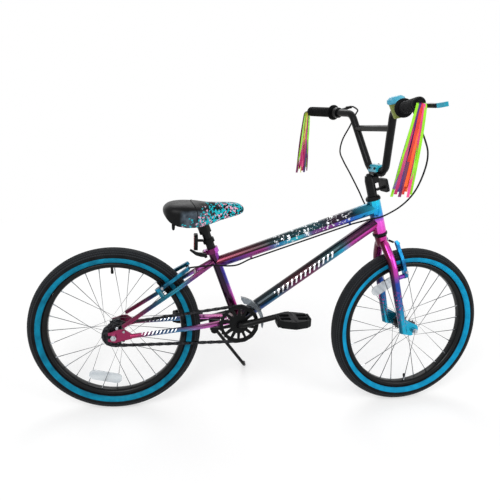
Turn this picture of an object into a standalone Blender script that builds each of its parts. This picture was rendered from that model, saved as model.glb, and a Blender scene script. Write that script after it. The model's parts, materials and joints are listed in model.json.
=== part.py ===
"""A 20 inch BMX bike standing on its kickstand, built as an assembly of named solids.

Lengths are metres and +Z is up. The bike is drawn upright in its own frame (x forward from the
rear axle, y to the rider's left, z up from the ground) under the empty "bike", which leans it on
to its kickstand. Each moving group has an empty on its joint's axis.
"""

import math

import bmesh
import bpy
from mathutils import Matrix, Vector

# Clearances
SEAT_GAP = 0.0003
RUN_GAP = 0.0006

# Stance
LEAN = math.radians(6.0)
STEER_REST = math.radians(6.7)

# Wheels
TYRE_RADIUS = 0.254
TYRE_HALF_WIDTH = 0.025
TYRE_TREAD_HALF = 0.008
RIM_INNER_RADIUS = 0.1937
RIM_OUTER_RADIUS = 0.2085
RIM_HALF_WIDTH = 0.016
RIM_BED_HALF = 0.008
WHEEL_SEGMENTS = 32
FLANGE_RADIUS = 0.0225
HUB_SHELL_RADIUS = 0.014
AXLE_RADIUS = 0.0048
SPOKE_PAIRS = 14
SPOKE_CROSSINGS = 3
SPOKE_THICKNESS = 0.0018
SPOKE_BAND = 0.0026
SPOKE_STUB = 0.0035
SPOKE_LEANS = (0.0020, 0.0062)
FRONT_FLANGE_Y = 0.030
REAR_FLANGE_Y = 0.027
FREEWHEEL_BOSS = 0.0162
FRONT_DROPOUT_Y = 0.0505
REAR_DROPOUT_Y = 0.0555
DROPOUT_THICKNESS = 0.005
NUT_RADIUS = 0.0088
NUT_HEIGHT = 0.010
WHEEL_REFLECTOR_LENGTH = 0.085
WHEEL_REFLECTOR_WIDTH = 0.030
WHEEL_REFLECTOR_RADIUS = 0.157
WHEEL_REFLECTOR_HALF = 0.0031

# Frame
WHEELBASE = 0.912
BRACKET_X = 0.365
BRACKET_Z = 0.284
SEAT_ANGLE = math.radians(69.2)
HEAD_ANGLE = math.radians(73.0)
FORK_RAKE = 0.022
SHELL_RADIUS = 0.028
SHELL_WALL = 0.003
SHELL_HALF = 0.034
CUP_THICKNESS = 0.0055
SEAT_TUBE_RADIUS = 0.0143
SEAT_TUBE_WALL = 0.0012
SEAT_TUBE_LENGTH = 0.238
REFLECTOR_ABOVE_TUBE = 0.024
STAY_ROOM = 0.050
HEAD_TUBE_RADIUS = 0.0200
HEAD_TUBE_WALL = 0.003
HEAD_LOW = 0.3255
HEAD_HIGH = 0.4295
HEADSET_HEIGHT = 0.0120
HEADSET_RADIUS = 0.0225
TOP_TUBE_SEAT = 0.190
TOP_TUBE_HEAD = 0.4055
TOP_TUBE_REAR_RADIUS = 0.0170
TOP_TUBE_FRONT_RADIUS = 0.0195
DOWN_TUBE_HEAD = 0.3620
DOWN_TUBE_RADIUS = 0.0188
DOWN_TUBE_DROP = 0.003
FRAME_WALL = 0.0016
STAY_WALL = 0.0015
CHAIN_STAY_RADIUS = 0.0085
STAY_BEND = (0.262, 0.0395, 0.2755)
STAY_ROOT_Y = 0.0225
STAY_ROOT_Z = 0.2820
SEAT_STAY_RADIUS = 0.0072
GUIDE_STATIONS = (0.203, 0.828)
GUIDE_SIZE = 0.010
GUIDE_DROP = 0.004
GUIDE_SPANS = (0.845, 0.81, 0.55, 0.34, 0.22, 0.185)

# Seat
POST_RADIUS = 0.0127
POST_WALL = 0.002
POST_LOW = 0.105
POST_HIGH = 0.311
CLAMP_HEIGHT = 0.015
CLAMP_RADIUS = 0.0190
CLAMP_SIDES = 16
CAM_RADIUS = 0.0045
CAM_HALF = 0.0066
BLADE_HALF = 0.0036
BLADE_FOOT = 0.0050
SADDLE_REAR = 0.138
SADDLE_NOSE = 0.375
SADDLE_HALF_WIDTH = 0.070
SADDLE_TOP = 0.646
SADDLE_BASE = 0.594
SADDLE_BARREL = 0.0085
SADDLE_SIDE = ((0.80, 0.0), (0.93, 0.0), (0.95, 0.35), (1.0, 0.62), (0.90, 0.86), (0.55, 0.975))
REFLECTOR_SIZE = 0.046
REFLECTOR_DEPTH = 0.009

# Fork, stem and handlebar, in the steering frame (x ahead of the axis, z along it from the axle)
STEERER_RADIUS = 0.0127
STEERER_BORE = 0.0115
STEERER_SIDES = 16
FORK_LEG_RADIUS = 0.0135
FORK_TIP_RADIUS = 0.0115
FORK_LEG_Y = 0.0500
FORK_TIP_Y = 0.0565
FORK_SHOULDER = 0.235
FORK_CROWN = 0.2930
FORK_TIP_X = -0.014
FORK_TIP_Z = 0.006
QUILL_RADIUS = 0.0107
QUILL_LOW = 0.372
STEM_REACH = 0.031
STEM_RISE = 0.513
STEM_CLAMP_HALF = 0.025
STEM_CLAMP_RADIUS = 0.0178
STEM_BODY_RADIUS = 0.0145
STEM_SIDES = 16
STEM_SPLIT = 0.0004
QUILL_BORE = 0.003
BAR_RADIUS = 0.0111
BAR_WALL = 0.002
BAR_BEND = 0.035
BAR_BEND_STEPS = 2
BAR_SIDES = 10
CROSSBAR_HEIGHT = 0.636
CROSSBAR_RADIUS = 0.0090
GRIP_HALF_SPAN = 0.345
FLANGE_HALF_SPAN = 0.220
FLANGE_REACH = 0.0260
FLANGE_RISE = 0.692
BAR_FOOT_HALF = 0.048
BAR_SHOULDER_REACH = 0.0460
BAR_SHOULDER_HALF = 0.131
BAR_SHOULDER_RISE = 0.681
GRIP_END_REACH = -0.0040
GRIP_END_RISE = 0.7065
GRIP_BODY_RADIUS = 0.0158
GRIP_FLANGE_RADIUS = 0.0240
GRIP_RIBS = 3
GRIP_SIDES = 12
PIN_HOLE = 0.0008
PERCH_HALF_SPAN = 0.203
LEVER_PIVOT_REACH = 0.034
LEVER_LENGTH = 0.128
BELL_HALF_SPAN = 0.168
BELL_CAP_RADIUS = 0.0240
BELL_RIDGES = 12
BELL_CAP_LEVELS = ((0.0, 0.92, 0.0), (0.004, 1.0, 0.06), (0.011, 0.94, 0.06), (0.0165, 0.62, 0.0))
STREAMER_LENGTH = 0.215
STREAMER_COUNT = 7
STREAMER_PITCH = 0.0064
STREAMER_SWEEP = 0.016
STREAMER_THICKNESS = 0.0009
STREAMER_PLUG = 0.008
STREAMER_OUT = 0.014
STREAMER_BEND = 0.08
STREAMER_STATIONS = (0.0, 0.04, 0.08, 0.25, 0.5, 0.75, 1.0)
GRIP_CAP = 0.005

# Brakes
BRAKE_ARM_LENGTH = 0.106
BRAKE_ARM_THICKNESS = 0.010
BRAKE_BOSS_RADIUS = 0.0042
BRAKE_STANDOFF = 0.031
PAD_GAP = 0.0030
PAD_RISE = 0.0145
PAD_LENGTH = 0.052
PAD_SHIFT = 0.009
PAD_HEIGHT = 0.009
FRONT_PIVOT_Z = 0.184
REAR_PIVOT_ALONG = 0.143
CABLE_RADIUS = 0.0024
BRAKE_CRADLE = (0.0140, 0.1085)

# Drive
CHAIN_PITCH = 0.0127
RING_TEETH = 28
COG_TEETH = 16
CHAIN_LINE = 0.045
TOOTH_PLATE = 0.003
TOOTH_ROOT = 0.0046
TOOTH_TIP = 0.0033
BORE_SIDES = 18
FREEWHEEL_WALL = 0.0065
FREEWHEEL_SPAN = (0.0105, -0.0032)
PLATE_INNER = 0.0023
PLATE_OUTER = 0.0034
LINK_HALF = 0.0042
WAIST_HALF = 0.0030
ROLLER_CLEAR = 0.030
CRANK_LENGTH = 0.152
CRANK_ANGLE = math.radians(14.5)
ARM_LINE = 0.064
ARM_RADIUS = 0.0085
ARM_BEND = 0.0125
ARM_BEND_STEPS = 2
CRANK_SIDES = 12
SPINDLE_RADIUS = 0.0115
SWELL = (0.003, 0.0032)
SHOULDER_SHY = 0.001
SHOULDER_STEP = 0.0001
PEDAL_RECESS = 0.004
PEDAL_SPINDLE_RADIUS = 0.0050
PEDAL_INNER = 0.0790
PEDAL_WIDTH = 0.086
PEDAL_LENGTH = 0.098
PEDAL_THICKNESS = 0.022
GUARD_DISC_RADIUS = 0.0570
GUARD_WINDOWS = 14
WINDOW_OUTER = 0.84
WINDOW_INNER = 0.50
WINDOW_WIDE = 0.34
WINDOW_SLIM = 0.15
DISC_SIDES = 42
DISC_THICKNESS = 0.002
GUARD_START = math.radians(88.0)
GUARD_END = math.radians(-10.0)
GUARD_INNER_RADIUS = 0.0650
GUARD_TOP_RADIUS = 0.0850
GUARD_FRONT_RADIUS = 0.0720
GUARD_FACE = 0.0535
GUARD_LIP = 0.0400
GUARD_WALL = 0.0020
GUARD_STUD = 0.0055

# Kickstand, in the bike frame
KICK_PIVOT = (0.298, 0.0300, 0.240)
KICK_RADIUS = 0.0052
KICK_PLATE_HALF = 0.018
KICK_KNEE = (0.400, 0.0470, 0.1040)
KICK_FOOT = (0.422, 0.2180)

FINISHES = {
    "candy_cyan": ((0.02, 0.42, 0.62), 0.22, 0.75),
    "candy_magenta": ((0.42, 0.02, 0.22), 0.22, 0.75),
    "candy_violet": ((0.25, 0.04, 0.45), 0.22, 0.75),
    "candy_blue": ((0.03, 0.16, 0.50), 0.22, 0.75),
    "black_steel": ((0.015, 0.015, 0.017), 0.40, 0.60),
    "black_plastic": ((0.020, 0.020, 0.022), 0.55, 0.0),
    "black_rubber": ((0.018, 0.019, 0.021), 0.80, 0.0),
    "silver_steel": ((0.62, 0.63, 0.65), 0.30, 1.0),
    "dark_steel": ((0.10, 0.10, 0.11), 0.40, 1.0),
    "blue_anodised": ((0.03, 0.22, 0.55), 0.30, 0.80),
    "smoke_plastic": ((0.22, 0.23, 0.24), 0.30, 0.0),
    "clear_reflector": ((0.80, 0.81, 0.82), 0.15, 0.0),
    "red_reflector": ((0.45, 0.02, 0.02), 0.20, 0.0),
    "lime_plastic": ((0.45, 0.55, 0.05), 0.45, 0.0),
    "cyan_plastic": ((0.02, 0.60, 0.65), 0.40, 0.0),
    "pink_vinyl": ((0.75, 0.10, 0.40), 0.40, 0.0),
    "black_vinyl": ((0.020, 0.021, 0.024), 0.60, 0.0),
}


def clear_scene():
    """Remove every object that the new file starts with."""
    for thing in list(bpy.data.objects):
        bpy.data.objects.remove(thing, do_unlink=True)


def finish(name):
    """Return the named material, made on first use."""
    found = bpy.data.materials.get(name)
    if found:
        return found
    colour, roughness, metallic = FINISHES[name]
    made = bpy.data.materials.new(name)
    made.use_nodes = True
    shader = made.node_tree.nodes["Principled BSDF"]
    shader.inputs["Base Color"].default_value = (*colour, 1.0)
    shader.inputs["Roughness"].default_value = roughness
    shader.inputs["Metallic"].default_value = metallic
    made.diffuse_color = (*colour, 1.0)
    return made


def empty(name, parent, matrix):
    """Add an empty that carries a group of pieces."""
    made = bpy.data.objects.new(name, None)
    bpy.context.collection.objects.link(made)
    made.parent = parent
    made.matrix_local = matrix
    return made


def piece(name, mesh, coating, parent):
    """Turn a bmesh into a named object with outward faces and smooth round sides."""
    bmesh.ops.remove_doubles(mesh, verts=mesh.verts, dist=1e-7)
    bmesh.ops.recalc_face_normals(mesh, faces=mesh.faces)
    if mesh.calc_volume(signed=True) < 0.0:
        bmesh.ops.reverse_faces(mesh, faces=mesh.faces)
    data = bpy.data.meshes.new(name)
    mesh.to_mesh(data)
    mesh.free()
    data.materials.append(finish(coating))
    data.shade_smooth()
    data.set_sharp_from_angle(angle=math.radians(38.0))
    made = bpy.data.objects.new(name, data)
    bpy.context.collection.objects.link(made)
    made.parent = parent
    return made


def tool(name, mesh, parent):
    """Make a hidden solid that another piece is joined with or cut by."""
    made = piece(name, mesh, "dark_steel", parent)
    made.hide_render = True
    made.display_type = "WIRE"
    return made


def combine(base, other, operation):
    """Join a hidden solid to a piece, or cut the piece with it."""
    step = base.modifiers.new(other.name, "BOOLEAN")
    step.operation = operation
    step.solver = "EXACT"
    step.object = other


def join(base, mesh, label):
    """Join a bmesh to a piece as one body."""
    combine(base, tool(f"{base.name}_{label}", mesh, base.parent), "UNION")


def cut(base, mesh, label):
    """Cut a piece with a bmesh."""
    combine(base, tool(f"{base.name}_{label}", mesh, base.parent), "DIFFERENCE")


def frame_axes(direction):
    """Return two unit vectors square to a direction and to each other."""
    along = Vector(direction).normalized()
    side = along.orthogonal().normalized()
    if abs(along.y) < 0.9:
        side = Vector((0.0, 1.0, 0.0)).cross(along).normalized()
    return side, along.cross(side).normalized()


def circle(centre, side, up, radius, count, turn=0.0):
    """Return points round a circle in the plane of two unit vectors."""
    points = []
    for index in range(count):
        angle = turn + math.tau * index / count
        points.append(Vector(centre) + radius * (math.cos(angle) * side + math.sin(angle) * up))
    return points


def skin(rings, closed_run=False, caps=True):
    """Return a bmesh that joins rings of equal counts in order."""
    mesh = bmesh.new()
    rows = [[mesh.verts.new(point) for point in ring] for ring in rings]
    count = len(rows[0])
    last = len(rows) if closed_run else len(rows) - 1
    for index in range(last):
        here, there = rows[index], rows[(index + 1) % len(rows)]
        for step in range(count):
            after = (step + 1) % count
            mesh.faces.new((here[step], here[after], there[after], there[step]))
    if caps and not closed_run:
        mesh.faces.new(rows[0])
        mesh.faces.new(rows[-1])
    return mesh


def socket(radius, gap, count):
    """Return the corner radius of a many-sided bore whose flats clear a shaft by a gap."""
    return (radius + gap) / math.cos(math.pi / count)


def turned(profile, origin, axis, count, turn=0.0):
    """Return a bmesh turned from a closed outline of (radius, height) about an axis."""
    side, up = frame_axes(axis)
    along = Vector(axis).normalized()
    rings = []
    for step in range(count):
        angle = math.tau * (step + turn) / count
        out = math.cos(angle) * side + math.sin(angle) * up
        rings.append([Vector(origin) + radius * out + height * along for radius, height in profile])
    return skin(rings, closed_run=True)


def rod(start, end, radius, count, end_radius=None):
    """Return a solid round bar between two points."""
    side, up = frame_axes(Vector(end) - Vector(start))
    far = radius if end_radius is None else end_radius
    return skin([circle(start, side, up, radius, count), circle(end, side, up, far, count)])


def box(low, high):
    """Return a bmesh box between two corners."""
    (x0, y0, z0), (x1, y1, z1) = low, high
    ring = [(x0, y0), (x1, y0), (x1, y1), (x0, y1)]
    return skin([[Vector((x, y, z)) for x, y in ring] for z in (z0, z1)])


def rounded_path(corners, radius, steps):
    """Return a path through corner points with each inner corner turned to an arc."""
    points = [Vector(corners[0])]
    for before, corner, after in zip(corners, corners[1:], corners[2:]):
        corner = Vector(corner)
        into = (Vector(before) - corner).normalized()
        away = (Vector(after) - corner).normalized()
        half = into.angle(away) / 2.0
        if half > STRAIGHT_ENOUGH:
            points.append(corner)
            continue
        reach = radius / math.tan(half)
        centre = corner + (into + away).normalized() * (radius / math.sin(half))
        first = corner + into * reach - centre
        last = corner + away * reach - centre
        sweep = first.angle(last)
        for step in range(steps + 1):
            share = step / steps
            blend = math.sin((1.0 - share) * sweep) * first + math.sin(share * sweep) * last
            points.append(centre + blend / math.sin(sweep))
    points.append(Vector(corners[-1]))
    return points


def swept_rings(points, radii, count):
    """Return rings square to a path, carried along it without twist."""
    points = [Vector(point) for point in points]
    rings = []
    side = None
    for index, point in enumerate(points):
        before = points[max(index - 1, 0)]
        after = points[min(index + 1, len(points) - 1)]
        along = (after - before).normalized()
        if side is None:
            side, up = frame_axes(along)
        side = (side - along * side.dot(along)).normalized()
        up = along.cross(side)
        rings.append(circle(point, side, up, radii[index], count))
    return rings


def swept(points, radii, count, wall=0.0):
    """Return a bar swept along a path, hollow and open at both ends where a wall is given."""
    outer = swept_rings(points, radii, count)
    if not wall:
        return skin(outer)
    inner = swept_rings(points, [radius - wall for radius in radii], count)
    return skin(outer + inner[::-1], closed_run=True)


def spread(points, first, last):
    """Return radii that run evenly from first to last along a path."""
    count = len(points) - 1
    return [first + (last - first) * index / count for index in range(count + 1)]


def mitre(point, along, neighbour, margin=0.0):
    """Slide a point along a direction until it is a margin away from a neighbouring round tube."""
    origin, axis, radius = neighbour
    radius += margin
    axis = axis.normalized()
    offset = point - origin
    offset = offset - axis * offset.dot(axis)
    run = along - axis * along.dot(axis)
    square = run.dot(run)
    linear = offset.dot(run)
    left = linear * linear - square * (offset.dot(offset) - radius * radius)
    shift = (-linear - math.sqrt(max(left, 0.0))) / square
    return point + along * shift


def mitred_tube(start, end, radii, wall, count, start_on=None, end_on=None):
    """Return a hollow tube whose ends are shaped to the tubes that it meets."""
    start, end = Vector(start), Vector(end)
    along = (end - start).normalized()
    side, up = frame_axes(along)
    rings = []
    for inset in (0.0, wall):
        near = circle(start, side, up, radii[0] - inset, count)
        far = circle(end, side, up, radii[1] - inset, count)
        middle = [(a + b) / 2.0 for a, b in zip(near, far)]
        if start_on:
            near = [mitre(m, (n - m).normalized(), start_on, inset) for m, n in zip(middle, near)]
        if end_on:
            far = [mitre(m, (f - m).normalized(), end_on, inset) for m, f in zip(middle, far)]
        rings.append([near, far])
    (near_out, far_out), (near_in, far_in) = rings
    return skin([near_out, far_out, far_in, near_in], closed_run=True)


def plate(outline, holes, place, low, high):
    """Return a flat plate with holes; place turns (u, v, depth) into a point."""
    mesh = bmesh.new()
    edges = []
    for loop in [outline, *holes]:
        verts = [mesh.verts.new(place(u, v, low)) for u, v in loop]
        for index, vert in enumerate(verts):
            edges.append(mesh.edges.new((vert, verts[(index + 1) % len(verts)])))
    bmesh.ops.triangle_fill(mesh, use_beauty=True, edges=edges)
    base = list(mesh.faces)
    grown = bmesh.ops.extrude_face_region(mesh, geom=base)
    shift = place(0.0, 0.0, high) - place(0.0, 0.0, low)
    moved = [item for item in grown["geom"] if isinstance(item, bmesh.types.BMVert)]
    bmesh.ops.translate(mesh, verts=moved, vec=shift)
    return mesh


def arc_points(centre, radius, start, end, steps):
    """Return (u, v) points along an arc, angles in degrees."""
    points = []
    for step in range(steps + 1):
        angle = math.radians(start + (end - start) * step / steps)
        points.append((centre[0] + radius * math.cos(angle), centre[1] + radius * math.sin(angle)))
    return points


def side_on(y_sign=1.0):
    """Return a placer for plates that lie in the bike's side view at a depth along y."""
    return lambda u, v, depth: Vector((u, y_sign * depth, v))


def seat_point(along):
    """Return the point on the seat tube's axis at a distance from the bottom bracket."""
    return BRACKET + along * SEAT_AXIS


def steering_base():
    """Return the point of the steering axis that is level with the front axle's rake."""
    ahead = Vector((math.sin(HEAD_ANGLE), 0.0, math.cos(HEAD_ANGLE)))
    return Vector((WHEELBASE, 0.0, TYRE_RADIUS)) - FORK_RAKE * ahead


def steering_axis():
    """Return the steering axis, pointing up."""
    return Vector((-math.cos(HEAD_ANGLE), 0.0, math.sin(HEAD_ANGLE)))


def head_point(height):
    """Return a point on the steering axis at a height along it."""
    return steering_base() + height * steering_axis()


SEAT_AXIS = Vector((-math.cos(SEAT_ANGLE), 0.0, math.sin(SEAT_ANGLE)))
BRACKET = Vector((BRACKET_X, 0.0, BRACKET_Z))
REAR_HUB = Vector((0.0, 0.0, TYRE_RADIUS))
LATERAL = Vector((0.0, 1.0, 0.0))
STRAIGHT_ENOUGH = math.radians(84.0)
FLAT_DOWN = 0.5
LEFT = LATERAL.y
RIGHT = -LEFT
SIDES = (("right", RIGHT), ("left", LEFT))

# Seat stay line in side view: from the dropout up to the seat tube, with half spacings
STAY_LOW = Vector((0.026, 0.0, 0.2850))
STAY_HIGH = Vector((0.2880, 0.0, 0.4655))
STAY_LOW_Y = 0.0580
STAY_TYRE_Y = 0.0365
STAY_HIGH_Y = 0.0140
STAY_TYRE_SHARE = 0.66
STAY_LINE = (STAY_HIGH - STAY_LOW).normalized()
STAY_SQUARE = Vector((-STAY_LINE.z, 0.0, STAY_LINE.x))


def stay_point(along, side):
    """Return a point on a seat stay at a distance from its lower end."""
    length = (STAY_HIGH - STAY_LOW).length
    share = along / length
    if share < STAY_TYRE_SHARE:
        half = STAY_LOW_Y + (STAY_TYRE_Y - STAY_LOW_Y) * share / STAY_TYRE_SHARE
    else:
        above = (share - STAY_TYRE_SHARE) / (1.0 - STAY_TYRE_SHARE)
        half = STAY_TYRE_Y + (STAY_HIGH_Y - STAY_TYRE_Y) * above
    return STAY_LOW + along * STAY_LINE + side * half * LATERAL


def under_top_tube(share, drop):
    """Return a point below the top tube's underside, at a share of its length from the seat tube."""
    rear, front = seat_point(TOP_TUBE_SEAT), head_point(TOP_TUBE_HEAD)
    along = (front - rear).normalized()
    radius = TOP_TUBE_REAR_RADIUS + (TOP_TUBE_FRONT_RADIUS - TOP_TUBE_REAR_RADIUS) * share
    return rear + (front - rear) * share + Vector((along.z, 0.0, -along.x)) * (radius + drop)


def main_tubes(bike):
    """Build the head, top, down and seat tubes and the bottom bracket shell."""
    head_on = (head_point(0.0), steering_axis(), HEAD_TUBE_RADIUS + SEAT_GAP)
    seat_on = (BRACKET, SEAT_AXIS, socket(SEAT_TUBE_RADIUS, SEAT_GAP, 13))
    shell_on = (BRACKET, LATERAL, SHELL_RADIUS + SEAT_GAP)
    radii = (HEAD_TUBE_RADIUS, HEAD_TUBE_RADIUS)
    mesh = mitred_tube(head_point(HEAD_LOW), head_point(HEAD_HIGH), radii, HEAD_TUBE_WALL, 20)
    piece("head_tube", mesh, "candy_cyan", bike)

    rear, front = seat_point(TOP_TUBE_SEAT), head_point(TOP_TUBE_HEAD)
    radii = (TOP_TUBE_REAR_RADIUS, TOP_TUBE_FRONT_RADIUS)
    mesh = mitred_tube(rear, front, radii, FRAME_WALL, 20, seat_on, head_on)
    top = piece("top_tube", mesh, "candy_magenta", bike)
    for index, station in enumerate(GUIDE_STATIONS):
        root = under_top_tube(station, -FRAME_WALL * 0.9)
        tip = under_top_tube(station, GUIDE_DROP)
        join(top, rod(root, tip, GUIDE_SIZE / 2.0, 8, GUIDE_SIZE / 3.0), f"guide_{index}")

    front = head_point(DOWN_TUBE_HEAD)
    rear = BRACKET - Vector((0.0, 0.0, DOWN_TUBE_DROP))
    radii = (DOWN_TUBE_RADIUS, DOWN_TUBE_RADIUS)
    mesh = mitred_tube(rear, front, radii, FRAME_WALL, 20, shell_on, head_on)
    piece("down_tube", mesh, "candy_blue", bike)

    radii = (SEAT_TUBE_RADIUS, SEAT_TUBE_RADIUS)
    mesh = mitred_tube(BRACKET, seat_point(SEAT_TUBE_LENGTH), radii, SEAT_TUBE_WALL, 20, shell_on)
    piece("seat_tube", mesh, "candy_violet", bike)

    ends = (BRACKET - SHELL_HALF * LATERAL, BRACKET + SHELL_HALF * LATERAL)
    mesh = mitred_tube(*ends, (SHELL_RADIUS, SHELL_RADIUS), SHELL_WALL, 24)
    piece("bottom_bracket_shell", mesh, "candy_magenta", bike)
    for name, side in SIDES:
        bore = socket(SPINDLE_RADIUS, RUN_GAP, 16)
        face = SHELL_HALF + SEAT_GAP
        profile = [
            (bore, face),
            (SHELL_RADIUS - 0.001, face),
            (SHELL_RADIUS - 0.003, face + CUP_THICKNESS),
            (bore, face + CUP_THICKNESS),
        ]
        piece(f"bearing_cup_{name}", turned(profile, BRACKET, side * LATERAL, 16), "black_steel", bike)


def headset(bike):
    """Build the headset cups that sit on both ends of the head tube."""
    bore = socket(STEERER_RADIUS, RUN_GAP, STEERER_SIDES)
    for name, start, sense in (("upper", HEAD_HIGH, 1.0), ("lower", HEAD_LOW, -1.0)):
        profile = [
            (bore, SEAT_GAP),
            (HEADSET_RADIUS, SEAT_GAP),
            (HEADSET_RADIUS, HEADSET_HEIGHT * 0.55),
            (HEADSET_RADIUS * 0.82, HEADSET_HEIGHT),
            (bore, HEADSET_HEIGHT),
        ]
        mesh = turned(profile, head_point(start), sense * steering_axis(), STEERER_SIDES)
        piece(f"headset_{name}_cup", mesh, "black_steel", bike)


def rear_dropout():
    """Return the outline of a rear dropout in side view, with its slot open to the rear."""
    slot = AXLE_RADIUS + SEAT_GAP
    axle_z = REAR_HUB.z
    outline = arc_points((0.0, axle_z), slot, 90.0, -90.0, 6)
    outline += [(-0.016, axle_z - slot), (-0.016, axle_z - 0.013)]
    outline += arc_points((0.004, axle_z - 0.004), 0.0135, -120.0, -60.0, 3)
    outline += [(0.052, axle_z - 0.006), (0.052, axle_z + 0.008), (0.040, axle_z + 0.0165)]
    outline += [(0.030, axle_z + 0.0235), (0.014, axle_z + 0.0235), (-0.004, axle_z + 0.016)]
    outline += [(-0.016, axle_z + 0.013), (-0.016, axle_z + slot)]
    return outline


def chain_stay_height(x):
    """Return the height of the chain stays' axes ahead of their bend."""
    root_x = BRACKET_X - SHELL_RADIUS
    share = (x - STAY_BEND[0]) / (root_x - STAY_BEND[0])
    return STAY_BEND[2] + (STAY_ROOT_Z - STAY_BEND[2]) * share


def chain_stays(bike):
    """Build the two chain stays, each with its dropout plate."""
    shell_on = (BRACKET, LATERAL, SHELL_RADIUS + SEAT_GAP)
    for name, side in SIDES:
        middle = REAR_DROPOUT_Y + DROPOUT_THICKNESS / 2.0
        root = Vector((STAY_BEND[0], side * STAY_ROOT_Y, STAY_ROOT_Z))
        start = mitre(root, Vector((1.0, 0.0, 0.0)), shell_on, CHAIN_STAY_RADIUS * 0.2)
        corners = [
            start,
            (STAY_BEND[0], side * STAY_BEND[1], STAY_BEND[2]),
            (0.046, side * middle, REAR_HUB.z + 0.001),
        ]
        path = rounded_path(corners, 0.12, 2)
        mesh = swept(path, spread(path, CHAIN_STAY_RADIUS, CHAIN_STAY_RADIUS * 0.8), 10, STAY_WALL)
        stay = piece(f"chain_stay_{name}", mesh, "candy_magenta", bike)
        low = REAR_DROPOUT_Y
        join(stay, plate(rear_dropout(), [], side_on(side), low, low + DROPOUT_THICKNESS), "dropout")


def seat_stays(bike):
    """Build the pair of seat stays with their bridge and brake bosses as one weldment."""
    length = (STAY_HIGH - STAY_LOW).length
    stays = None
    for name, side in SIDES:
        top = stay_point(length, side)
        corners = [stay_point(0.0, side), stay_point(length * STAY_TYRE_SHARE, side), top]
        path = rounded_path(corners, 0.10, 2)
        mesh = swept(path, spread(path, SEAT_STAY_RADIUS * 0.9, SEAT_STAY_RADIUS), 10, STAY_WALL)
        if stays is None:
            stays = piece("seat_stays", mesh, "candy_magenta", bike)
        else:
            join(stays, mesh, name)
    for name, side in SIDES:
        root = stay_point(REAR_PIVOT_ALONG, side)
        foot = root + STAY_SQUARE * (SEAT_STAY_RADIUS - STAY_WALL / 2.0)
        seat = root + STAY_SQUARE * (BRAKE_STANDOFF - BRAKE_ARM_THICKNESS / 2.0 - RUN_GAP)
        tip = root + STAY_SQUARE * (BRAKE_STANDOFF + BRAKE_ARM_THICKNESS / 2.0)
        join(stays, rod(foot, seat, BRAKE_BOSS_RADIUS * 1.7, 10), f"boss_{name}")
        join(stays, rod(foot, tip, BRAKE_BOSS_RADIUS, 10), f"pin_{name}")
    bridge = length * 0.80
    reach = stay_point(bridge, LEFT)
    join(stays, rod(Vector((reach.x, -reach.y, reach.z)), reach, SEAT_STAY_RADIUS * 0.8, 10), "bridge")
    keep = SEAT_TUBE_RADIUS + SEAT_GAP
    low, high = seat_point(TOP_TUBE_SEAT - STAY_ROOM), seat_point(TOP_TUBE_SEAT + STAY_ROOM)
    cut(stays, rod(low, high, keep / math.cos(math.pi / 24.0), 24), "seat_tube_room")


def wheel_pieces(name, centre, flange_y, dropout_y, freewheel):
    """Build one wheel's tyre, rim, hub with spokes and spoke reflector about its own centre."""
    half = TYRE_HALF_WIDTH
    bead = RIM_OUTER_RADIUS + SEAT_GAP
    belly = (bead + TYRE_RADIUS) / 2.0 - 0.002
    right_side = [
        (bead, 0.54 * half),
        (bead + 0.0060, 0.86 * half),
        (belly, half),
        (TYRE_RADIUS - 0.0090, 0.78 * half),
        (TYRE_RADIUS, TYRE_TREAD_HALF),
    ]
    section = right_side + [(radius, -y) for radius, y in right_side[::-1]]
    mesh = turned(section, (0, 0, 0), LATERAL, WHEEL_SEGMENTS, FLAT_DOWN)
    piece(f"{name}_tyre", mesh, "black_rubber", centre)

    profile = [
        (RIM_INNER_RADIUS, RIM_BED_HALF),
        (RIM_INNER_RADIUS + 0.005, RIM_HALF_WIDTH),
        (RIM_OUTER_RADIUS, RIM_HALF_WIDTH),
        (RIM_OUTER_RADIUS, -RIM_HALF_WIDTH),
        (RIM_INNER_RADIUS + 0.005, -RIM_HALF_WIDTH),
        (RIM_INNER_RADIUS, -RIM_BED_HALF),
    ]
    mesh = turned(profile, (0, 0, 0), LATERAL, WHEEL_SEGMENTS, FLAT_DOWN)
    piece(f"{name}_rim", mesh, "black_steel", centre)
    piece(f"{name}_hub", spoked_hub(flange_y, dropout_y, freewheel), "silver_steel", centre)
    wheel_reflector(name, centre)


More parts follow.
